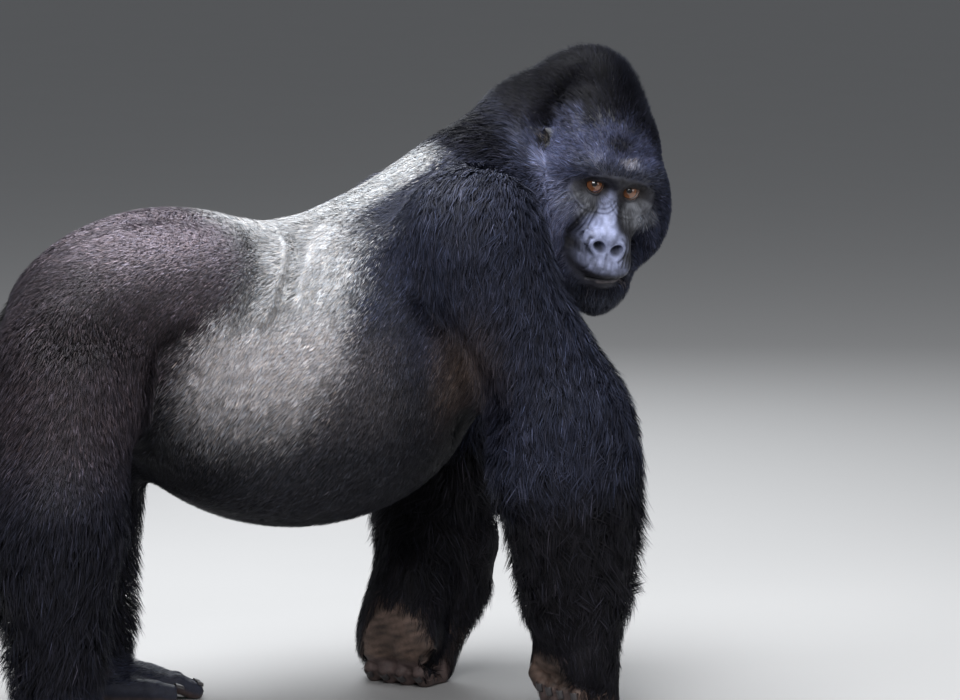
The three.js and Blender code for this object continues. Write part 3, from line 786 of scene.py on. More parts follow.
def wanted_edge(points):
    """How long the edges of the skin may be at each point: short on the face, hands and feet."""
    local = head_places(points)
    f, l, u = local.T
    forward, out, up = body_places(points)
    in_ridges = (np.abs(forward - 0.385) < 0.10) & (np.abs(up - 0.785) < 0.09) & (np.abs(out) > 0.04)
    size = np.where(in_ridges, 0.0045, np.where(points[:, 2] < 0.19, 0.0046, 1.0))
    on_head = (f > -120) & (np.abs(l) < 135) & (u > -260) & (u < 120)
    size = np.where(on_head, 0.0055, size)
    in_face = (f > -40) & (np.abs(l) < 95) & (u > -200) & (u < 62)
    size = np.where(in_face, 0.0026, size)
    for side in SIDES:
        from_middle, _, here = ear_zone(local, side)
        size = np.where((from_middle < 1.7) & (here > 0), 0.0024, size)
    for side in SIDES:
        size = np.where(np.linalg.norm(local - eye_centre(side), axis=1) < 30, 0.0013, size)
        from_nostril = np.hypot(l * side - NOSTRIL["out"], u - NOSTRIL["up"])
        size = np.where((from_nostril < 17) & (f > 30), 0.0014, size)
    in_mouth = (f > 0) & (np.abs(u + 148) < 9) & (np.abs(l) < 52)
    return np.where(in_mouth, 0.0014, size)


def face_share(local, shares):
    """1 on the front of the head, where its own shape holds, and 0 behind the ears."""
    return ramp(local[:, 0], -125, -55) * ramp(share_of(shares, "head"), 0.35, 0.9)


def form_head(points, tris, shares, depth):
    """Gives the head its true form, with the face's folds, lids and nostrils."""
    local = head_places(points)
    near = (local[:, 0] > -130) & (np.abs(local[:, 1]) < 150) & (local[:, 2] > -275) & (local[:, 2] < 230)
    shape = head_shape()
    strength = face_share(local, shares)
    for pulls in range(3):
        local[near] = settled(local[near], shape, -depth[near] / MM, strength[near], 3)
        if pulls < 2:
            local = relaxed(local, tris, 0.5 * strength, 4)
    part = local[near]
    for side in SIDES:
        part = nostril_formed(part, side)
        part = lids_formed(part, side)
    lift = crease_lift(part)
    lift *= ramp(np.min([np.linalg.norm(part - eye_centre(s), axis=1) for s in SIDES], axis=0), 19, 24)
    out = np.stack([shape(part + e) - shape(part - e) for e in np.eye(3)], axis=1)
    part += unit(out) * lift[:, None]
    for side in SIDES:
        part = ear_formed(part, side)
    points = points.copy()
    points[near] = from_head(part)
    return points


# Folds of the body on each side, as lines of (forward, up) points, with width and depth in metres.
THIGH_FOLD = [(0.205, 0.698), (0.166, 0.675), (0.146, 0.625), (0.149, 0.552), (0.172, 0.481)]
ARM_FOLD = [(0.603, 0.738), (0.667, 0.668), (0.699, 0.611), (0.722, 0.557), (0.713, 0.504)]
RIDGES = [
    [(0.404, 0.836), (0.392, 0.808), (0.366, 0.778), (0.330, 0.715)],
    [(0.486, 0.858), (0.444, 0.823), (0.411, 0.779), (0.390, 0.735)],
]
VALLEYS = [
    [(0.432, 0.850), (0.420, 0.820), (0.390, 0.770), (0.356, 0.715)],
    [(0.362, 0.850), (0.350, 0.815), (0.333, 0.770), (0.293, 0.705)],
]
FOLDS = [(THIGH_FOLD, 0.018, 0.018), (ARM_FOLD, 0.022, 0.024)]
FOLDS += [([(-0.025, 0.695), (0.062, 0.707), (0.134, 0.694)], 0.040, 0.012)]
FOLDS += [(line, 0.010, -0.0055) for line in RIDGES]
FOLDS += [(VALLEYS[0], 0.014, 0.005), (VALLEYS[1], 0.020, 0.008)]


def body_nearness(points, line, width):
    """1 on a line of (forward, up) points on either side of the body, falling to 0 beside it."""
    f, l, u = body_places(points)
    off = off_line(np.stack([f, u], axis=1), line)
    return bell(off, 0, width) * ramp(np.abs(l), 0.03, 0.09)


def spine_groove(points):
    """1 in the groove that runs along the midline between the haunches."""
    f, l, u = body_places(points)
    return bell(l, 0, 0.030) * ramp(f, 0.36, 0.27) * ramp(u, 0.55, 0.70)


def folded(points, normals, shares):
    """Sinks the folds into the skin and raises the ridges out of it."""
    sink = 0.014 * spine_groove(points)
    for line, width, depth in FOLDS:
        sink = sink + depth * body_nearness(points, line, width)
    keep = 1 - share_of(shares, "head", "ear", "neck", "shank", "foot", "hand", "forearm")
    return points - normals * (sink * keep)[:, None]


def make_skin():
    """The skin's points, triangles and shares of each part, and the surface of the coat's tips."""
    flesh = joined_flesh()
    points, tris = one_surface(*flesh[:2])
    outline = Surface(points, tris)
    shares = part_shares(points, tris, flesh)
    fine = share_of(shares, "head", "ear", "hand", "foot")
    points = relaxed(points, tris, 0.5, 4)
    points = relaxed(points, tris, 0.55 * (1 - ramp(fine, 0.1, 0.7)), 34)
    points, tris, shares = refined(points, tris, shares, wanted_edge)
    depth = coat_depth(points, normals_of(points, tris), shares)
    smooth = relaxed(normals_of(points, tris), tris, 0.6, 10)
    in_face = face_share(head_places(points), shares)
    points = points - unit(smooth) * (depth * (1 - in_face))[:, None]
    points = form_head(points, tris, shares, depth)
    points = form_limb_ends(points, tris, shares)
    points = folded(points, normals_of(points, tris), shares)
    points[:, 2] = np.maximum(points[:, 2], 0.0004)
    return points, tris, shares, outline


# ---- Markings and painted light and shade, shared by the skin and the coat ---------------------
BLACK = (0.0190, 0.0212, 0.0355)  # blue-black of the shoulders, arms and crest
HAUNCH = (0.0340, 0.0270, 0.0320)  # brownish black of the rump and thighs
# Greyer hair on top of the rump, made paler still as a painted highlight where the top light falls
RUMP_TOP_GREY_AND_SHEEN = (0.220, 0.185, 0.215)
WORN = (0.085, 0.062, 0.052)  # thin brownish coat behind the arm
# Near-black hair of the legs, with painted shade darkening it towards the floor
DARK_LEG_AND_GROUND_SHADE = (0.0085, 0.0085, 0.0130)
SHAGGY = (0.0075, 0.0070, 0.0095)  # brown-black of the forearms
CREST = (0.0040, 0.0040, 0.0065)
# Painted light: paler, bluer hair on the near cheek only, standing for the light and sky sheen on that side
NEAR_CHEEK_LIGHT = (0.125, 0.135, 0.215)
SILVER = (0.340, 0.340, 0.345)
# Palest silver along the top of the back: its own pale hair, made paler as a painted highlight where the top
# light falls
BACK_SILVER_AND_SHEEN = (0.450, 0.455, 0.460)
FLANK = (0.375, 0.355, 0.360)
FOREHEAD = (0.046, 0.051, 0.090)
BARE = (0.020, 0.020, 0.027)
# Pale lavender skin of the nose and muzzle, with painted light on the lit near side of the bridge
MUZZLE_PALE_AND_LIT = (0.290, 0.320, 0.480)
PALM = (0.112, 0.074, 0.058)
FINGER = (0.085, 0.060, 0.058)
BELLY = (0.021, 0.021, 0.026)
# Painted shadow of the thigh on the rear of the belly
THIGH_SHADOW_ON_BELLY = (0.006, 0.006, 0.008)
GREY_SIDE = (0.062, 0.057, 0.063)  # thinner coat low on the flank
BROW = (0.026, 0.028, 0.038)
BROW_PATCH = (0.230, 0.225, 0.260)
WHORL = (0.010, 0.010, 0.014)  # dark patch in the forehead's hair
BEARD = (0.040, 0.043, 0.056)
LID = (0.013, 0.010, 0.010)
EYE_BAG = (0.235, 0.245, 0.275)
# Painted shade in the ear's hollow, and a painted highlight along part of its rim
EAR_HOLLOW_SHADE = (0.006, 0.006, 0.007)
EAR_RIM_HIGHLIGHT = (0.16, 0.14, 0.13)
# Painted highlight along the lower lip, standing for its wet shine
LOWER_LIP_HIGHLIGHT = (0.110, 0.095, 0.100)
# How much painted shade darkens the folds: line, width in metres, and the share of the colour that is lost.
FOLD_SHADES = [(THIGH_FOLD, 0.022, 0.55), (ARM_FOLD, 0.022, 0.35)]
FOLD_SHADES += [(VALLEYS[1], 0.024, 0.45), (VALLEYS[0], 0.012, 0.25)]


def haunch_edge(up):
    """How far forward the dark rump and thigh reach, at each height."""
    ups = [0.55, 0.60, 0.656, 0.706, 0.753, 0.80, 0.843, 0.863, 0.90]
    return np.interp(up, ups, [0.205, 0.207, 0.217, 0.240, 0.312, 0.330, 0.325, 0.315, 0.30])


def shoulder_edge(left, up):
    """How far forward the silver saddle reaches, further along the top of the back."""
    edge = np.interp(up, [0.683, 0.747, 0.825, 0.876], [0.482, 0.504, 0.519, 0.548])
    return edge + 0.16 * ramp(up, 0.86, 0.95) * ramp(np.abs(left), 0.11, 0.05)


def belly_edge(forward):
    """The height at which the grey of the flank gives way to the black of the belly."""
    forwards = [0.10, 0.215, 0.284, 0.379, 0.413, 0.458, 0.490]
    return np.interp(forward, forwards, [0.585, 0.580, 0.558, 0.550, 0.596, 0.648, 0.70])


def saddle(points):
    """1 in the silver saddle over the back, falling through the grey flank to 0 on the belly."""
    f, l, u = body_places(points)
    wander = 0.010 * ripple(points, 0.11, 3) + 0.007 * ripple(points, 0.03, 4)
    behind = ramp(f + wander, haunch_edge(u) - 0.045, haunch_edge(u) + 0.045)
    before = ramp(f + wander, shoulder_edge(l, u) + 0.028, shoulder_edge(l, u) - 0.032)
    lower = ramp(u + wander, belly_edge(f) - 0.095, belly_edge(f) + 0.055)
    return (behind * before * lower) ** 1.4


def body_colour(points, shares):
    f, l, u = body_places(points)
    colour = filled(BLACK, len(points))
    trunk = share_of(shares, "trunk")
    wander = 0.02 * ripple(points, 0.15, 5)
    colour = mixed(colour, HAUNCH, ramp(f + wander, 0.42, 0.24) * ramp(u, 0.34, 0.56))
    # Painted highlight on greyer hair: the top of the rump is paler
    colour = mixed(colour, RUMP_TOP_GREY_AND_SHEEN, ramp(f + wander, 0.40, 0.24) * ramp(u + wander, 0.78, 0.88))
    # Painted shade: the legs darken towards the floor, over their own near-black hair
    colour = mixed(colour, DARK_LEG_AND_GROUND_SHADE, share_of(shares, "shank", "thigh") * ramp(u, 0.58, 0.34))
    colour = mixed(colour, SHAGGY, share_of(shares, "forearm", "hand") * ramp(u + wander, 0.50, 0.41))
    colour = mixed(colour, BELLY, trunk * ramp(u, 0.66, 0.56))
    # Painted shadow of the thigh, low on the rear of the belly
    colour = mixed(colour, THIGH_SHADOW_ON_BELLY, trunk * ramp(u, 0.53, 0.45) * ramp(f, 0.36, 0.22))
    colour = mixed(colour, CREST, share_of(shares, "neck") * ramp(u, 0.90, 0.98))
    grey_side = ramp(f, 0.62, 0.50) * ramp(f, 0.30, 0.42) * ramp(u, 0.48, 0.58) * ramp(u, 0.74, 0.66)
    colour = mixed(colour, GREY_SIDE, 0.85 * grey_side * trunk)
    silver = saddle(points) * (1 - share_of(shares, "upper_arm", "forearm"))
    pale = mixed(filled(FLANK, len(points)), SILVER, ramp(u, 0.66, 0.76))
    # Painted highlight on the pale hair: the top of the back is paler still
    pale = mixed(pale, BACK_SILVER_AND_SHEEN, ramp(u, 0.855, 0.89))
    colour = mixed(colour, pale, silver)
    # Painted shade darkens the colour in the folds, in the hollow under the haunch and in the spine's groove
    under_haunch_shade = bell(f, 0.05, 0.11) * bell(u, 0.70, 0.06) * ramp(np.abs(l), 0.10, 0.16)
    shaded = np.zeros(len(points))
    for line, width, lost in FOLD_SHADES:
        shaded += lost * body_nearness(points, line, width)
    shaded = np.clip(shaded + 0.45 * under_haunch_shade + 0.35 * spine_groove(points), 0, 0.85)
    colour = colour * (1 - shaded)[:, None]
    worn = bell(f, 0.675, 0.045) * bell(u, 0.62, 0.085) * ramp(np.abs(l), 0.12, 0.17)
    return mixed(colour, WORN, 0.85 * worn * share_of(shares, "trunk", "upper_arm"))


def front_spot(local, centre, sizes):
    """1 at a (left, up) spot on the front of the head, 0 outside it."""
    spot = np.hypot((local[:, 1] - centre[0]) / sizes[0], (local[:, 2] - centre[1]) / sizes[1])
    return ramp(spot, 1.25, 0.6) * ramp(local[:, 0], -45, -20)


def head_colour(local):
    """Colours of the head: grey-blue forehead inside the dark crest, bare dark face, pale muzzle, with
    painted light on the near cheek, the muzzle's near side, the lower lip and an ear rim, and painted shade
    in the ears, nostrils and grooves.
    """
    f, l, u = local.T
    wander = 0.05 * ripple(local, 26, 11)
    hairline = np.hypot((l + 20) / 114, (u - 20) / 108) + 1.2 * wander
    colour = mixed(filled(BLACK, len(local)), CREST, ramp(u - 0.4 * f, 60, 110))
    # Painted light on the near cheek's hair only, the far cheek keeps its dark hair
    cheek_light_zone = ramp(u, 45, 5) * ramp(u, -215, -160) * ramp(f, -90, -60) * ramp(l, -142, -126)
    colour = mixed(colour, NEAR_CHEEK_LIGHT, cheek_light_zone * ramp(-l, 20, 60))
    colour = mixed(colour, FOREHEAD, ramp(hairline, 1.00, 0.72) * ramp(u, -6, 30) * ramp(f, -100, -72))
    colour = colour * (1 - 0.55 * ramp(u - 0.3 * f, 95, 150))[:, None]
    brow = 0.85 * bell(u, 36, 15) * ramp(np.abs(l), 92, 70) * ramp(f, -30, 0)
    colour = mixed(colour, BROW, brow)
    bare = bareness(local)
    colour = mixed(colour, BARE, bare)
    colour = mixed(colour, BROW_PATCH, 0.85 * front_spot(local, (9, 52), (19, 7)))
    colour = mixed(colour, WHORL, 0.85 * front_spot(local, (-14, 80), (22, 14)))
    # Pale skin of the nose and muzzle; the upper spots lie towards the near side, as painted light on the lit
    # side of the bridge
    muzzle = np.maximum.reduce([
        front_spot(local, (-9, -36), (17, 36)),
        front_spot(local, (-14, -64), (30, 24)),
        front_spot(local, (-4, -86), (42, 26)),
        0.85 * front_spot(local, (2, -108), (34, 22)),
        0.50 * front_spot(local, (6, -124), (46, 22)),
    ])
    patchy = 0.84 + 0.20 * ripple(local, 9, 12)
    above_mouth = ramp(skull_places(local)[:, 2], -142, -128)
    colour = mixed(colour, MUZZLE_PALE_AND_LIT, np.clip(muzzle * patchy, 0, 1) * above_mouth)
    beard = ramp(u, -150, -180) * ramp(f, -60, -20)
    colour = mixed(colour, BEARD, 0.8 * beard * (1 - bare))
    for side in SIDES:
        eye = np.linalg.norm(local - eye_centre(side), axis=1)
        colour = mixed(colour, LID, 0.85 * ramp(eye, 38, 22) * ramp(u, -24, -8))
        bag = (0.55 + 0.20 * side) * front_spot(local, (54 * side, -34), (34, 24))
        colour = mixed(colour, EYE_BAG, bag * (0.75 + 0.35 * ripple(local, 7, 14 + side)))
        # Painted shade deep in each nostril's hollow
        inside, _ = nostril_zone(local, side)
        colour = colour * (1 - 0.80 * inside)[:, None]
    # Painted shade in each ear's hollow and a painted highlight along part of its rim
    for side in SIDES:
        from_middle, ahead, here = ear_zone(local, side)
        colour = mixed(colour, EAR_HOLLOW_SHADE, here * ramp(from_middle, 1.25, 1.0))
        rim = 0.8 * here * bell(from_middle, 0.92, 0.12) * ramp(ahead, 3, -5)
        colour = mixed(colour, EAR_RIM_HIGHLIGHT, rim)
    # Painted highlight along the lower lip
    lip_highlight = nearness(skull_places(local), [(-20, -155), (4, -151), (32, -151)], 2.4)
    colour = mixed(colour, LOWER_LIP_HIGHLIGHT, 0.7 * lip_highlight)
    # Painted shade in the grooves of the bare face, deeper grooves darker
    grooves = np.clip(-crease_lift(local), 0, 2.4) / 2.4
    return colour * (1 - 0.62 * grooves * bare)[:, None]


def palm_side(points, shares, normals):
    """1 on the bare palms, which face back, on the curled fingers, and on the soles; 0 under hair."""
    bare = np.zeros(len(points))
    for side in SIDES:
        limb = LIMBS[side]
        _, out, up = upright_places(points, at(*limb["hand"]), limb["hand_turn"]).T
        turn = limb["hand_turn"]
        facing = normals @ np.array([-math.sin(turn), math.cos(turn), 0.0])
        inner = np.interp(up, [-110, -60, -10, 12], [-92, -70, -36, -8])
        outer = np.interp(up, [-110, -60, -10, 12], limb["bare_out"])
        within = ramp(out * side - outer, 8, -6) * ramp(out * side - inner, -8, 6)
        least, most = limb["bare_facing"]
        palm = ramp(facing, least, most) * within * ramp(up, limb["bare_top"] + 8, limb["bare_top"] - 8)
        fingers = ramp(up, -112, -126) * ramp(facing, least - 0.25, most - 0.30)
        of_hand = np.maximum.reduce([palm, fingers, ramp(up, -148, -156)])
        bare = np.where(on_side(points, side), of_hand, bare)
    soles = share_of(shares, "foot") * ramp(normals[:, 2], -0.1, -0.6)
    return np.maximum(share_of(shares, "hand") * bare, soles)


def markings_and_painted_light(points, shares, normals):
    """The colour of the animal at points on it, with painted light and shade in places, given how much each
    belongs to each part.
    """
    colour = body_colour(points, shares)
    local = head_places(points)
    head = ramp(share_of(shares, "head"), 0.3, 0.8)
    colour = mixed(colour, head_colour(local), head)
    wrinkled = 0.80 + 0.30 * ripple(points * (1, 1, 2), 0.012, 31) + 0.30 * ripple(points, 0.045, 32)
    palm = np.array(PALM) * np.clip(wrinkled, 0.3, 1.4)[:, None]
    palm = mixed(palm, FINGER, 0.8 * ramp(points[:, 2], 0.056, 0.044))
    return mixed(colour, palm, palm_side(points, shares, normals))


# ---- Materials --------------------------------------------------------------------------------
class Nodes:
    """A material's node tree, with short ways to add nodes and join them."""

    def __init__(self, name):
        self.material = bpy.data.materials.new(name)
        self.material.use_nodes = True
        self.tree = self.material.node_tree
        self.shader = self.tree.nodes["Principled BSDF"]

    def add(self, kind, settings=(), **inputs):
        node = self.tree.nodes.new(kind)
        for name, value in dict(settings).items():
            setattr(node, name, value)
        for name, value in inputs.items():
            self.feed(node.inputs[name.replace("_", " ")], value)
        return node

    def feed(self, socket, value):
        if isinstance(value, bpy.types.NodeSocket):
            self.tree.links.new(value, socket)
        else:
            socket.default_value = value

    def set(self, **inputs):
        for name, value in inputs.items():
            self.feed(self.shader.inputs[name.replace("_", " ")], value)

    def own_place(self):
        return self.add("ShaderNodeTexCoord").outputs["Object"]

    def noise(self, scale, detail=4.0, roughness=0.55, vector=None):
        vector = vector or self.own_place()
        return self.add(
            "ShaderNodeTexNoise", Vector=vector, Scale=scale, Detail=detail, Roughness=roughness
        ).outputs["Fac"]

    def scaled(self, value, low, high, from_low=0.0, from_high=1.0):
        node = self.add("ShaderNodeMapRange", Value=value, From_Min=from_low, From_Max=from_high)
        node.inputs["To Min"].default_value = low
        node.inputs["To Max"].default_value = high
        return node.outputs["Result"]

    def maths(self, operation, a, b):
        node = self.tree.nodes.new("ShaderNodeMath")
        node.operation = operation
        self.feed(node.inputs[0], a)
        self.feed(node.inputs[1], b)
        return node.outputs[0]

    def tinted(self, colour, value):
        """A colour multiplied by a grey value."""
        node = self.tree.nodes.new("ShaderNodeVectorMath")
        node.operation = "SCALE"
        self.feed(node.inputs[0], colour)
        self.feed(node.inputs["Scale"], value)
        return node.outputs[0]

    def blend(self, share, a, b):
        node = self.tree.nodes.new("ShaderNodeMix")
        node.data_type = "RGBA"
        self.feed(node.inputs["Factor"], share)
        self.feed(node.inputs["A"], a)
        self.feed(node.inputs["B"], b)
        return node.outputs["Result"]

    def marking_and_light(self):
        return self.add("ShaderNodeVertexColor", {"layer_name": "MarkingAndLight"}).outputs["Color"]

    def bump(self, height, strength, distance):
        self.set(Normal=self.add(
            "ShaderNodeBump", Height=height, Strength=strength, Distance=distance
        ).outputs["Normal"])


def skin_material():
    """Dark leathery skin: fine creases and pores, with a soft shine where it is bare."""
    n = Nodes("gorilla_skin")
    place = n.own_place()
    cells = n.add("ShaderNodeTexVoronoi", {"feature": "DISTANCE_TO_EDGE"}, Vector=place, Scale=420.0)
    pores = n.scaled(cells.outputs["Distance"], 0.0, 1.0, 0.0, 0.35)
    coarse = n.noise(90.0, 6.0, 0.65, place)
    fine = n.noise(600.0, 3.0, 0.6, place)
    n.bump(n.maths("ADD", n.maths("MULTIPLY", coarse, 0.9), n.maths("ADD", pores, fine)), 0.55, 0.0006)
    n.set(
        Base_Color=n.tinted(n.marking_and_light(), n.scaled(coarse, 0.72, 1.28, 0.3, 0.7)),
        Roughness=n.scaled(n.noise(160.0, 3.0, 0.6, place), 0.42, 0.64, 0.3, 0.7),
        Specular_IOR_Level=0.35,
    )
    return n.material


def coat_material(name, gloss):
    """Hair: each tuft carries its own shade, a little streaked along its length."""
    n = Nodes(name)
    streaks = n.noise(900.0, 2.0, 0.5)
    n.set(
        Base_Color=n.tinted(n.marking_and_light(), n.scaled(streaks, 0.75, 1.25, 0.3, 0.7)),
        Roughness=n.scaled(n.noise(35.0, 3.0), 0.46, 0.62, 0.3, 0.7),
        Specular_IOR_Level=gloss,
        Sheen_Weight=0.02, Sheen_Roughness=0.4, Sheen_Tint=(0.62, 0.70, 1.0, 1.0),
    )
    return n.material


def eye_material():
    """An eyeball looking along its own +X: black pupil, orange-brown iris with rays, dark white."""
    n = Nodes("gorilla_eye")
    place = n.own_place()
    split = n.add("ShaderNodeSeparateXYZ", Vector=place)
    y, z = split.outputs["Y"], split.outputs["Z"]
    radius = n.maths("SQRT", n.maths("ADD", n.maths("MULTIPLY", y, y), n.maths("MULTIPLY", z, z)), 0.0)
    radius = n.maths("DIVIDE", radius, EYE_RADIUS * MM)
    angle = n.maths("ARCTAN2", z, y)
    ray_place = n.add("ShaderNodeCombineXYZ", X=n.maths("COSINE", angle, 0.0), Y=n.maths("SINE", angle, 0.0))
    rays = n.noise(9.0, 5.0, 0.7, ray_place.outputs["Vector"])
    rings = n.maths("MULTIPLY", radius, 1.4)
    shade = n.scaled(n.maths("ADD", rays, rings), 0.45, 1.45, 0.6, 1.5)
    iris = n.tinted((0.150, 0.056, 0.022), shade)
    white = n.blend(n.noise(240.0, 4.0, 0.6, place), (0.075, 0.040, 0.028, 1), (0.165, 0.095, 0.070, 1))
    outer = n.blend(n.scaled(radius, 0.0, 1.0, 0.66, 0.72), iris, (0.018, 0.010, 0.007, 1))
    outer = n.blend(n.scaled(radius, 0.0, 1.0, 0.74, 0.82), outer, white)
    n.set(Base_Color=n.blend(n.scaled(radius, 0.0, 1.0, 0.25, 0.29), (0.0025, 0.002, 0.002, 1), outer))
    n.set(Roughness=0.12, Coat_Weight=1.0, Coat_Roughness=0.03)
    return n.material


def nail_material():
    n = Nodes("gorilla_nail")
    place = n.own_place()
    stretched = n.add("ShaderNodeMapping", Vector=place, Scale=(500.0, 60.0, 60.0)).outputs["Vector"]
    ridges = n.noise(1.0, 3.0, 0.5, stretched)
    n.set(Base_Color=n.blend(ridges, (0.030, 0.027, 0.029, 1), (0.085, 0.078, 0.080, 1)))
    n.bump(ridges, 0.4, 0.0003)
    n.set(Roughness=0.36)
    return n.material


def floor_material():
    n = Nodes("plain_floor")
    n.set(Base_Color=(0.36, 0.355, 0.35, 1), Roughness=n.scaled(n.noise(3.0), 0.75, 0.9))
    return n.material


# ---- The coat ---------------------------------------------------------------------------------
# Length and width of the tufts in metres, how thickly they stand, and how far each strays from its
# neighbours' direction. Lie is forward, outwards and up. Clump is how far tufts gather together.
COAT = {
    "trunk": dict(long=0.0130, wide=0.0014, thick=1.60, stray=0.11, lie=(-0.7, 0.10, -0.8), clump=0.08),
    "neck": dict(long=0.036, wide=0.0018, thick=0.8, stray=0.24, lie=(-0.9, 0.0, -0.4), clump=0.35),
    "head": dict(long=0.019, wide=0.0011, thick=1.9, stray=0.34, lie=(-1.0, 0.3, 0.5), clump=0.30),
    "ear": dict(long=0.012, wide=0.0010, thick=0.5, stray=0.2, lie=(-0.9, 0.0, 0.3), clump=0.0),
    "upper_arm": dict(long=0.034, wide=0.0018, thick=0.95, stray=0.30, lie=(-0.25, 0.2, -1.0), clump=0.40),
    "forearm": dict(long=0.056, wide=0.0022, thick=0.95, stray=0.50, lie=(-0.1, 0.25, -0.95), clump=0.62),
    "hand": dict(long=0.040, wide=0.0018, thick=2.0, stray=0.36, lie=(0.0, 0.3, -0.95), clump=0.45),
    "thigh": dict(long=0.020, wide=0.0015, thick=0.95, stray=0.16, lie=(-0.35, 0.0, -0.9), clump=0.25),
    "shank": dict(long=0.045, wide=0.0020, thick=0.7, stray=0.28, lie=(-0.2, 0.1, -1.0), clump=0.45),
    "foot": dict(long=0.012, wide=0.0012, thick=0.8, stray=0.2, lie=(0.9, 0.0, -0.3), clump=0.2),
}
TUFTS = 470_000  # tufts in the whole coat
PIECE_TUFTS = 64_000  # tufts in one piece of it
ROOT_SINK = 0.0012
TUFT_PATCH = 0.003  # size of each tuft's patch on the coat's map


def coat_setting(name, shares):
    return shares @ np.array([COAT[kind][name] for kind in KINDS])


def head_lie(local):
    """The lie of the hair on the head: up over the forehead and crest, back and down on the cheeks."""
    f, l, u = local.T
    side = np.tanh(l / 30)
    outer = ramp(np.abs(l), 25, 85)
    up = np.stack([np.full(len(f), -0.9), (0.35 + 0.45 * outer) * side, 0.75 - 0.55 * outer], axis=1)
    down = np.stack([np.full(len(f), -0.75), 0.25 * side, np.full(len(f), -0.85)], axis=1)
    chin = np.stack([np.full(len(f), 0.1), 0.1 * side, np.full(len(f), -1.0)], axis=1)
    lie = mixed(up, down, ramp(u, 35, -20))
    lie = mixed(lie, chin, ramp(u, -140, -175))
    back = np.stack([np.full(len(f), -1.0), 0.1 * side, np.full(len(f), -0.5)], axis=1)
    return mixed(lie, back, ramp(f, -110, -170))


def lie_of_coat(points, normals, shares):
    f, l, u = body_places(points)
    side = np.tanh(l / 0.06)
    lie = np.zeros_like(points)
    for kind in KINDS:
        forward, out, up = COAT[kind]["lie"]
        way = np.stack([out * side, np.full(len(f), -forward), np.full(len(f), up)], axis=1)
        lie += share_of(shares, kind)[:, None] * way
    local = head_places(points)
    lie = mixed(lie, head_vectors(head_lie(local)), share_of(shares, "head", "ear"))
    swirl = 0.16 * np.stack([ripple(points, 0.13, 20 + k) for k in range(3)], axis=1)
    return unit(across(lie + swirl, normals))


def thickness(points, shares, normals):
    """How many tufts each area gets, relative to the others: none on bare skin."""
    local = head_places(points)
    head = share_of(shares, "head", "ear")
    thick = coat_setting("thick", shares) * (1 - ramp(head * bareness(local), 0.25, 0.8))
    for side in SIDES:
        from_middle, _, here = ear_zone(local, side)
        thick = thick * (1 - 0.85 * ramp(from_middle, 1.45, 1.2) * here * ramp(head, 0.1, 0.4))
    toes = share_of(shares, "foot") * ramp(points[:, 2], 0.050, 0.035)
    bare = np.maximum(palm_side(points, shares, normals), toes)
    return thick * (1 - ramp(bare, 0.2, 0.6))


def scattered_roots(points, tris, weight, count, rng):
    """Random places on the triangles, in proportion to their area and the weight of their corners."""
    a, b, c = (points[tris[:, k]] for k in range(3))
    area = np.linalg.norm(np.cross(b - a, c - a), axis=1) * weight[tris].mean(axis=1)
    chosen = np.sort(rng.choice(len(tris), size=count, p=area / area.sum()))
    r = rng.random((count, 2))
    r = np.where(r.sum(axis=1, keepdims=True) > 1, 1 - r, r)
    return chosen, np.stack([1 - r.sum(axis=1), r[:, 0], r[:, 1]], axis=1)


def gathered(paths, roots, spacing, strength, steps, rng):
    """Draws the tips of neighbouring tufts together, each group towards one of its members."""
    cell = np.floor(roots / spacing).astype(np.int64)
    keys = (cell[:, 0] * 4001 + cell[:, 1]) * 4001 + cell[:, 2]
    order = rng.permutation(len(roots))
    _, first = np.unique(keys[order], return_index=True)
    leaders = order[first]
    tree = KDTree(len(leaders))
    for number, leader in enumerate(leaders):
        tree.insert(roots[leader], number)
    tree.balance()
    nearest = np.array([tree.find(p)[1] for p in roots.tolist()])
    leader = leaders[nearest]
    for step, path in zip(steps, paths):
        path += (path[leader] - path) * (strength * step**1.3)[:, None] if step else 0
    return leader


def tuft_paths(roots, normals, lie, long, height, deepest, steps, skin, outline):
    """The middle line of each tuft: it rises from the skin to its share of the coat's depth."""
    spot, way = roots - normals * ROOT_SINK, lie
    paths, past = [spot], 0.0
    for step in steps[1:]:
        spot = spot + way * (long * (step - past))[:, None]
        out = skin.outwards(spot)
        above = skin.at(spot)
        room = np.clip(above - outline.at(spot), 0.0018, deepest)
        rise = height * room * step * (2 - step) - above
        spot = spot + out * np.clip(rise, -0.03, 0.04)[:, None]
        way = unit(across(way, out))
        paths.append(spot)
        past = step
    return paths


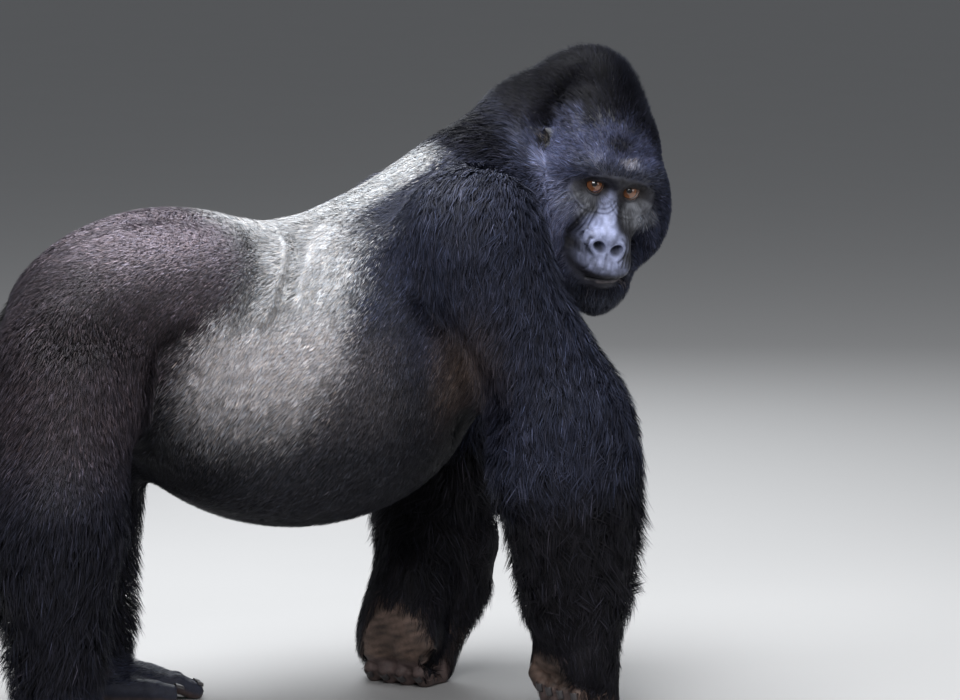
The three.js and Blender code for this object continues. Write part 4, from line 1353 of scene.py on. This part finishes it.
def tuft_mesh(name, paths, outs, wide, roll, colours, shagginess, uvs):
    """Joined blades along the paths, each ending in a point, with rounded shading across its width."""
    count, last = len(wide), len(paths) - 1
    rows, row_normals = [], []
    for k, path in enumerate(paths):
        ahead = unit(paths[min(k + 1, last)] - paths[max(k - 1, 0)])
        side = unit(np.cross(ahead, outs))
        over = unit(np.cross(side, ahead))
        side = unit(side * np.cos(roll)[:, None] + over * np.sin(roll)[:, None])
        face = unit(np.cross(side, ahead))
        soft = unit(face * (0.16 + 0.6 * shagginess)[:, None] + outs * 0.75)
        if k == last:
            rows.append(path[:, None])
            row_normals.append(soft[:, None])
            continue
        half = side * (wide * (0.5 - 0.12 * k / last))[:, None]
        rows.append(np.stack([path - half, path + half], axis=1))
        row_normals.append(np.stack([unit(soft - side * 0.45), unit(soft + side * 0.45)], axis=1))
    points = np.concatenate(rows, axis=1)
    normals = np.concatenate(row_normals, axis=1).reshape(-1, 3)
    each = points.shape[1]
    blade = []
    for k in range(last):
        left, right = 2 * k, 2 * k + 1
        if k < last - 1:
            blade += [(left, right, right + 2), (left, right + 2, left + 2)]
        else:
            blade.append((left, right, right + 1))
    tris = (np.arange(count)[:, None, None] * each + np.array(blade)).reshape(-1, 3)
    mesh = mesh_from(name, points.reshape(-1, 3), tris)
    mesh.polygons.foreach_set("use_smooth", np.ones(len(tris), bool))
    # Each tuft darkens towards its root and lightens towards its tip, most on long hair: painted shade deep
    # in the coat and painted highlight on the tips
    along = np.linspace(0, 1, each // 2 + 1).repeat(2)[:each]
    at_root = 0.85 - 0.65 * shagginess[:, None]
    shade = at_root + (1.12 + 0.23 * shagginess[:, None] - at_root) * along
    paint(mesh, (colours[:, None] * shade[:, :, None]).reshape(-1, 3))
    corner = np.empty(len(tris) * 3, np.int32)
    mesh.loops.foreach_get("vertex_index", corner)
    patch = np.array([(k % 2, k // 2 / last) for k in range(each)], float)
    patch[-1] = (0.5, 1)
    spots = (uvs[:, None] + patch[None] * TUFT_PATCH).reshape(-1, 2)
    layer = mesh.uv_layers.new(name="OFBake")
    layer.data.foreach_set("uv", spots[corner].astype(np.float32).ravel())
    mesh.normals_split_custom_set_from_vertices(normals.astype(np.float32))
    return mesh


def unrolled(points, axis):
    """Where points lie on the skin when it is unrolled round an axis, each way from 0 to 1."""
    one, two = [k for k in (0, 1, 2) if k != axis]
    away = points - points.mean(axis=0)
    turn = np.arctan2(away[:, one], away[:, two])
    places = np.stack([turn, away[:, axis]], axis=1)
    places = (places - places.min(axis=0)) / np.maximum(np.ptp(places, axis=0), 1e-6)
    return places * (1 - 2 * TUFT_PATCH) + TUFT_PATCH / 2


def tuft_colours(points, normals, shares, leader, rng):
    """The colours and painted light and shade at each tuft, shaded by its clump and by itself, with salt and
    pepper in the silver.
    """
    colour = markings_and_painted_light(points, shares, normals)
    clump = rng.normal(0, 1, len(points))[leader]
    own = rng.normal(0, 1, len(points))
    spread = np.interp(colour.mean(axis=1), [0.010, 0.035, 0.30], [0.60, 0.42, 0.15])
    colour = colour * np.exp(0.16 * clump + spread * own)[:, None]
    warm = rng.normal(0, 0.05, len(points))[:, None] * np.array([1.0, 0.0, -1.0])
    return colour * (1 + warm)


# Each part of the coat: the kinds of body part it covers, the axis it is unrolled round, and its slot.
COAT_PARTS = {
    "trunk": (("trunk",), 1, "silver_coat"),
    "neck": (("neck",), 1, "black_coat"),
    "head": (("head", "ear"), 2, "black_coat"),
    "upper_arm": (("upper_arm",), 2, "black_coat"),
    "forearm": (("forearm", "hand"), 2, "black_coat"),
    "thigh": (("thigh",), 2, "brown_coat"),
    "shank": (("shank", "foot"), 2, "brown_coat"),
}


def coat_groups(kinds, roots):
    """The tufts of each piece of the coat, by name, with the axis of its map and its slot."""
    for part, (members, axis, slot) in COAT_PARTS.items():
        belongs = np.isin(kinds, [KINDS.index(member) for member in members])
        paired = part not in ("trunk", "neck", "head")
        for side, suffix in ((LEFT, "_left"), (RIGHT, "_right")) if paired else ((0, ""),):
            mine = belongs & on_side(roots, side) if side else belongs
            group = np.flatnonzero(mine)
            order = group[np.argsort(roots[group, axis])]
            for number, these in enumerate(np.array_split(order, math.ceil(len(order) / PIECE_TUFTS))):
                yield f"coat_{part}{suffix}_{number + 1}", these, axis, slot


def grow_coat(points, tris, shares, outline):
    rng = np.random.default_rng(SEED)
    normals = normals_of(points, tris)
    lie = lie_of_coat(points, normals, shares)
    chosen, corner = scattered_roots(points, tris, thickness(points, shares, normals), TUFTS, rng)

    def spread(values):
        return np.einsum("nk,nkj->nj", corner, values[tris[chosen]])

    roots, root_normals = spread(points), unit(spread(normals))
    root_shares = spread(shares)
    root_lie = unit(across(spread(lie), root_normals))
    stray = coat_setting("stray", root_shares)
    root_lie = unit(across(root_lie + rng.normal(size=roots.shape) * stray[:, None], root_normals))
    local = head_places(roots)
    long = coat_setting("long", root_shares) * rng.uniform(0.65, 1.25, TUFTS)
    head = share_of(root_shares, "head", "ear")
    forehead = head * ramp(local[:, 0], -110, -70) * ramp(local[:, 2], 20, 50) * ramp(local[:, 2], 135, 105)
    long = long * (1 - 0.55 * forehead) * (1 - 0.4 * head * ramp(bareness(local), 0.0, 0.4))
    shagginess = np.interp(long, [0.012, 0.055], [0.0, 1.0])
    height = rng.uniform(0.42, 0.92, TUFTS) + shagginess * rng.uniform(0.05, 0.48, TUFTS)
    height += 0.20 * head * ramp(local[:, 2] - 0.5 * local[:, 0], 105, 155)
    deepest = 0.055 - 0.046 * ramp(share_of(root_shares, "trunk"), 0.3, 0.9)
    wide = coat_setting("wide", root_shares) * rng.uniform(0.75, 1.25, TUFTS)
    steps = (0.0, 0.42, 1.0)
    skin = Surface(points, tris)
    paths = tuft_paths(roots, root_normals, root_lie, long, height, deepest, steps, skin, outline)
    leader = gathered(paths, roots, 0.014, coat_setting("clump", root_shares), steps, rng)
    roll = rng.uniform(-1, 1, TUFTS) * (0.25 + 0.4 * shagginess)
    strewn = rng.normal(size=roots.shape) * (0.002 + 0.011 * share_of(root_shares, "trunk", "thigh"))[:, None]
    colours = tuft_colours(roots + strewn, root_normals, root_shares, leader, rng)
    outs = skin.outwards(paths[1])
    coat, dull_coat = coat_material("gorilla_coat", 0.12), coat_material("gorilla_coat_dull", 0.04)
    for name, these, axis, slot in coat_groups(np.argmax(root_shares, axis=1), roots):
        mesh = tuft_mesh(
            name, [p[these] for p in paths], outs[these], wide[these], roll[these],
            colours[these], shagginess[these], unrolled(roots[these], axis),
        )
        piece = added(name, mesh, dull_coat if "neck" in name or "head" in name else coat)
        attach(piece, "root")


# ---- Eyes -------------------------------------------------------------------------------------
def eyeball(side, gaze):
    """One eyeball with a bulging cornea, its own +X along the gaze."""
    rings, around = 40, 56
    angles = np.linspace(0, math.pi, rings + 1)
    bulge = 1 + 0.06 * ramp(angles, math.radians(44), math.radians(14))
    turn = np.arange(around) * 2 * math.pi / around
    radius = EYE_RADIUS * MM
    points = [(radius * bulge[0], 0, 0)]
    for a, b in zip(angles[1:-1], bulge[1:-1]):
        ahead, out = radius * b * math.cos(a), radius * b * math.sin(a)
        points += [(ahead, out * math.cos(t), out * math.sin(t)) for t in turn]
    points.append((-radius, 0, 0))
    tris = []
    for k in range(around):
        after = (k + 1) % around
        tris.append((0, 1 + k, 1 + after))
        for ring in range(rings - 2):
            a, b = 1 + ring * around, 1 + (ring + 1) * around
            tris += [(a + k, b + k, b + after), (a + k, b + after, a + after)]
        start = 1 + (rings - 2) * around
        tris.append((start + k, len(points) - 1, start + after))
    mesh = mesh_from("eyeball", np.array(points), np.array(tris))
    mesh.polygons.foreach_set("use_smooth", np.ones(len(tris), bool))
    ball = added("eyeball_left" if side == LEFT else "eyeball_right", mesh, eye_material())
    place = Matrix.Translation(from_head(eye_centre(side))[0])
    ball.matrix_world = place @ gaze.to_track_quat("X", "Z").to_matrix().to_4x4()
    return ball


# ---- Nails ------------------------------------------------------------------------------------
NAIL_CURVE = math.radians(62)  # how far a nail curves round to each side
NAIL_THICKNESS = 1.4  # mm


def nail(tip, out, ahead, width, length):
    """A thin curved plate on the back of a finger's end: out is away from the flesh, ahead to the tip."""
    side = np.cross(ahead, out)
    across_steps, along_steps = 8, 6
    flat_radius = width / 2 / math.sin(NAIL_CURVE)
    rows = []
    for thickness in (0.0, NAIL_THICKNESS):
        for j in range(along_steps + 1):
            along = j / along_steps
            for k in range(across_steps + 1):
                off_middle = 2 * k / across_steps - 1
                turn = NAIL_CURVE * off_middle
                lengthen = length * (along - 0.45) * (1 - 0.12 * (turn * along) ** 2)
                radius = flat_radius + thickness * (1 - 0.5 * abs(off_middle))
                rise = radius * math.cos(turn) - 2.2 * along * along
                place = tip + ahead * lengthen + side * radius * math.sin(turn)
                rows.append(place + out * (rise - radius * 0.72))
    tris, row = [], across_steps + 1
    layer = row * (along_steps + 1)
    for j in range(along_steps):
        for k in range(across_steps):
            a, b = j * row + k, (j + 1) * row + k
            tris += [(a, b, b + 1), (a, b + 1, a + 1)]
            tris += [(layer + a, layer + b + 1, layer + b), (layer + a, layer + a + 1, layer + b + 1)]
    rim = list(range(row)) + [j * row + across_steps for j in range(1, along_steps + 1)]
    rim += [along_steps * row + k for k in range(across_steps - 1, -1, -1)]
    rim += [j * row for j in range(along_steps - 1, 0, -1)]
    for a, b in zip(rim, rim[1:] + rim[:1]):
        tris += [(a, b, layer + b), (a, layer + b, layer + a)]
    return np.array(rows), np.array(tris)


def nail_places(side):
    """Where the nails of one side's hand and foot are: origin, turn, place, out, ahead, width, length."""
    limb = LIMBS[side]
    origin, turn = at(*limb["hand"]), limb["hand_turn"]
    ground = -limb["hand"][2] / MM + FINGER_RADIUS - SOLE_SINK
    for out, size in FINGERS:
        last, tip = (np.array(joint) for joint in finger_joints(out, size, ground, limb["curl"])[2:])
        ahead = unit(tip - last)
        away = unit(np.array([-ahead[2], 0.0, ahead[0]]))
        radius = FINGER_RADIUS * size * 0.80
        yield origin, turn, tip + away * radius, away, ahead, 17 * size, 16 * size
    origin, turn = at(*limb["ankle"]), limb["foot_turn"]
    ahead, away = np.array([0.97, 0, -0.24]), np.array([0.24, 0, 0.97])
    for out, reach, radius in TOES:
        tip = np.array([reach + 4, out * side, radius - SOLE_SINK])
        yield origin, turn, tip + away * radius * 0.92, away, ahead, radius * 1.05, 12
    tip = np.array([BIG_TOE[0] + 4, BIG_TOE[1] * side, BIG_TOE[2]])
    yield origin, turn, tip + away * 17, away, ahead, 20, 16


def grow_nails():
    for side, suffix in ((LEFT, "left"), (RIGHT, "right")):
        points, tris, count = [], [], 0
        for origin, turn, tip, out, ahead, width, length in nail_places(side):
            local, faces = nail(tip, out, ahead, width, length)
            points.append(from_upright(local, origin, turn))
            tris.append(faces + count)
            count += len(local)
        mesh = mesh_from(f"nails_{suffix}", np.concatenate(points), np.concatenate(tris))
        mesh.polygons.foreach_set("use_smooth", np.ones(len(mesh.polygons), bool))
        nails = added(f"nails_{suffix}", mesh, nail_material())
        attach(nails, "root")


# ---- Camera, light and floor --------------------------------------------------------------------
CAMERA_TURN, CAMERA_RISE, CAMERA_FAR = math.radians(250), math.radians(8), 9.0
CAMERA_AIM = Vector(at(0.7975, 0.0, 0.617))
FRAME_WIDTH = 1.684  # what the view takes in across, at the aim's distance
TO_CAMERA = Vector((
    math.sin(CAMERA_TURN) * math.cos(CAMERA_RISE),
    -math.cos(CAMERA_TURN) * math.cos(CAMERA_RISE),
    math.sin(CAMERA_RISE),
))


def make_camera():
    data = bpy.data.cameras.new("camera")
    data.sensor_width = 36
    data.lens = data.sensor_width * CAMERA_FAR / FRAME_WIDTH
    data.clip_end = 100
    camera = bpy.data.objects.new("camera", data)
    bpy.context.scene.collection.objects.link(camera)
    camera.location = CAMERA_AIM + TO_CAMERA * CAMERA_FAR
    camera.rotation_euler = TO_CAMERA.to_track_quat("Z", "Y").to_euler()
    bpy.context.scene.camera = camera


def soft_light(name, place, aim, size, power, colour=(1, 1, 1)):
    data = bpy.data.lights.new(name, "AREA")
    data.shape = "SQUARE"
    data.size = size
    data.energy = power
    data.color = colour
    lamp = bpy.data.objects.new(name, data)
    bpy.context.scene.collection.objects.link(lamp)
    lamp.location = place
    lamp.rotation_euler = (Vector(place) - Vector(aim)).to_track_quat("Z", "Y").to_euler()


def light_studio():
    soft_light("top_light", (0.1, 0.3, 3.4), (0, -0.1, 0.6), 2.4, 260, (0.95, 0.97, 1.0))
    soft_light("key_light", (-3.0, 1.2, 2.9), (0, -0.2, 0.7), 1.8, 90, (0.98, 0.98, 1.0))
    soft_light("front_light", (-3.0, -2.6, 1.8), (-0.1, -0.4, 0.8), 2.0, 30, (0.95, 0.97, 1.0))
    soft_light("far_light", (3.2, -1.2, 2.4), (0, 0, 0.7), 2.0, 60, (0.92, 0.96, 1.0))
    world = bpy.data.worlds.new("studio")
    world.use_nodes = True
    world.node_tree.nodes["Background"].inputs["Color"].default_value = (0.80, 0.84, 0.90, 1)
    world.node_tree.nodes["Background"].inputs["Strength"].default_value = 0.26
    bpy.context.scene.world = world


def lay_floor():
    size = 30.0
    corners = np.array([(-size, -size, 0), (size, -size, 0), (size, size, 0), (-size, size, 0)])
    floor = added("floor", mesh_from("floor", corners, np.array([(0, 1, 2), (0, 2, 3)])), floor_material())


# ---- The animal ---------------------------------------------------------------------------------
def build_gorilla():
    points, tris, shares, outline = make_skin()
    mesh = mesh_from("skin", points, tris)
    mesh.polygons.foreach_set("use_smooth", np.ones(len(mesh.polygons), bool))
    normals = normals_of(points, tris)
    paint(mesh, markings_and_painted_light(points, shares, normals))
    skin = added("skin", mesh, skin_material())
    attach(skin, "root")
    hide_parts(*FLESH)
    for side, node in ((RIGHT, "eye_right"), (LEFT, "eye_left")):
        ball = eyeball(side, TO_CAMERA)
        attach(ball, "root")
        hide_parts(node)
    grow_nails()
    grow_coat(points, tris, shares, outline)


make_camera()
light_studio()
lay_floor()
build_gorilla()
bpy.context.scene.view_settings.view_transform = "Standard"
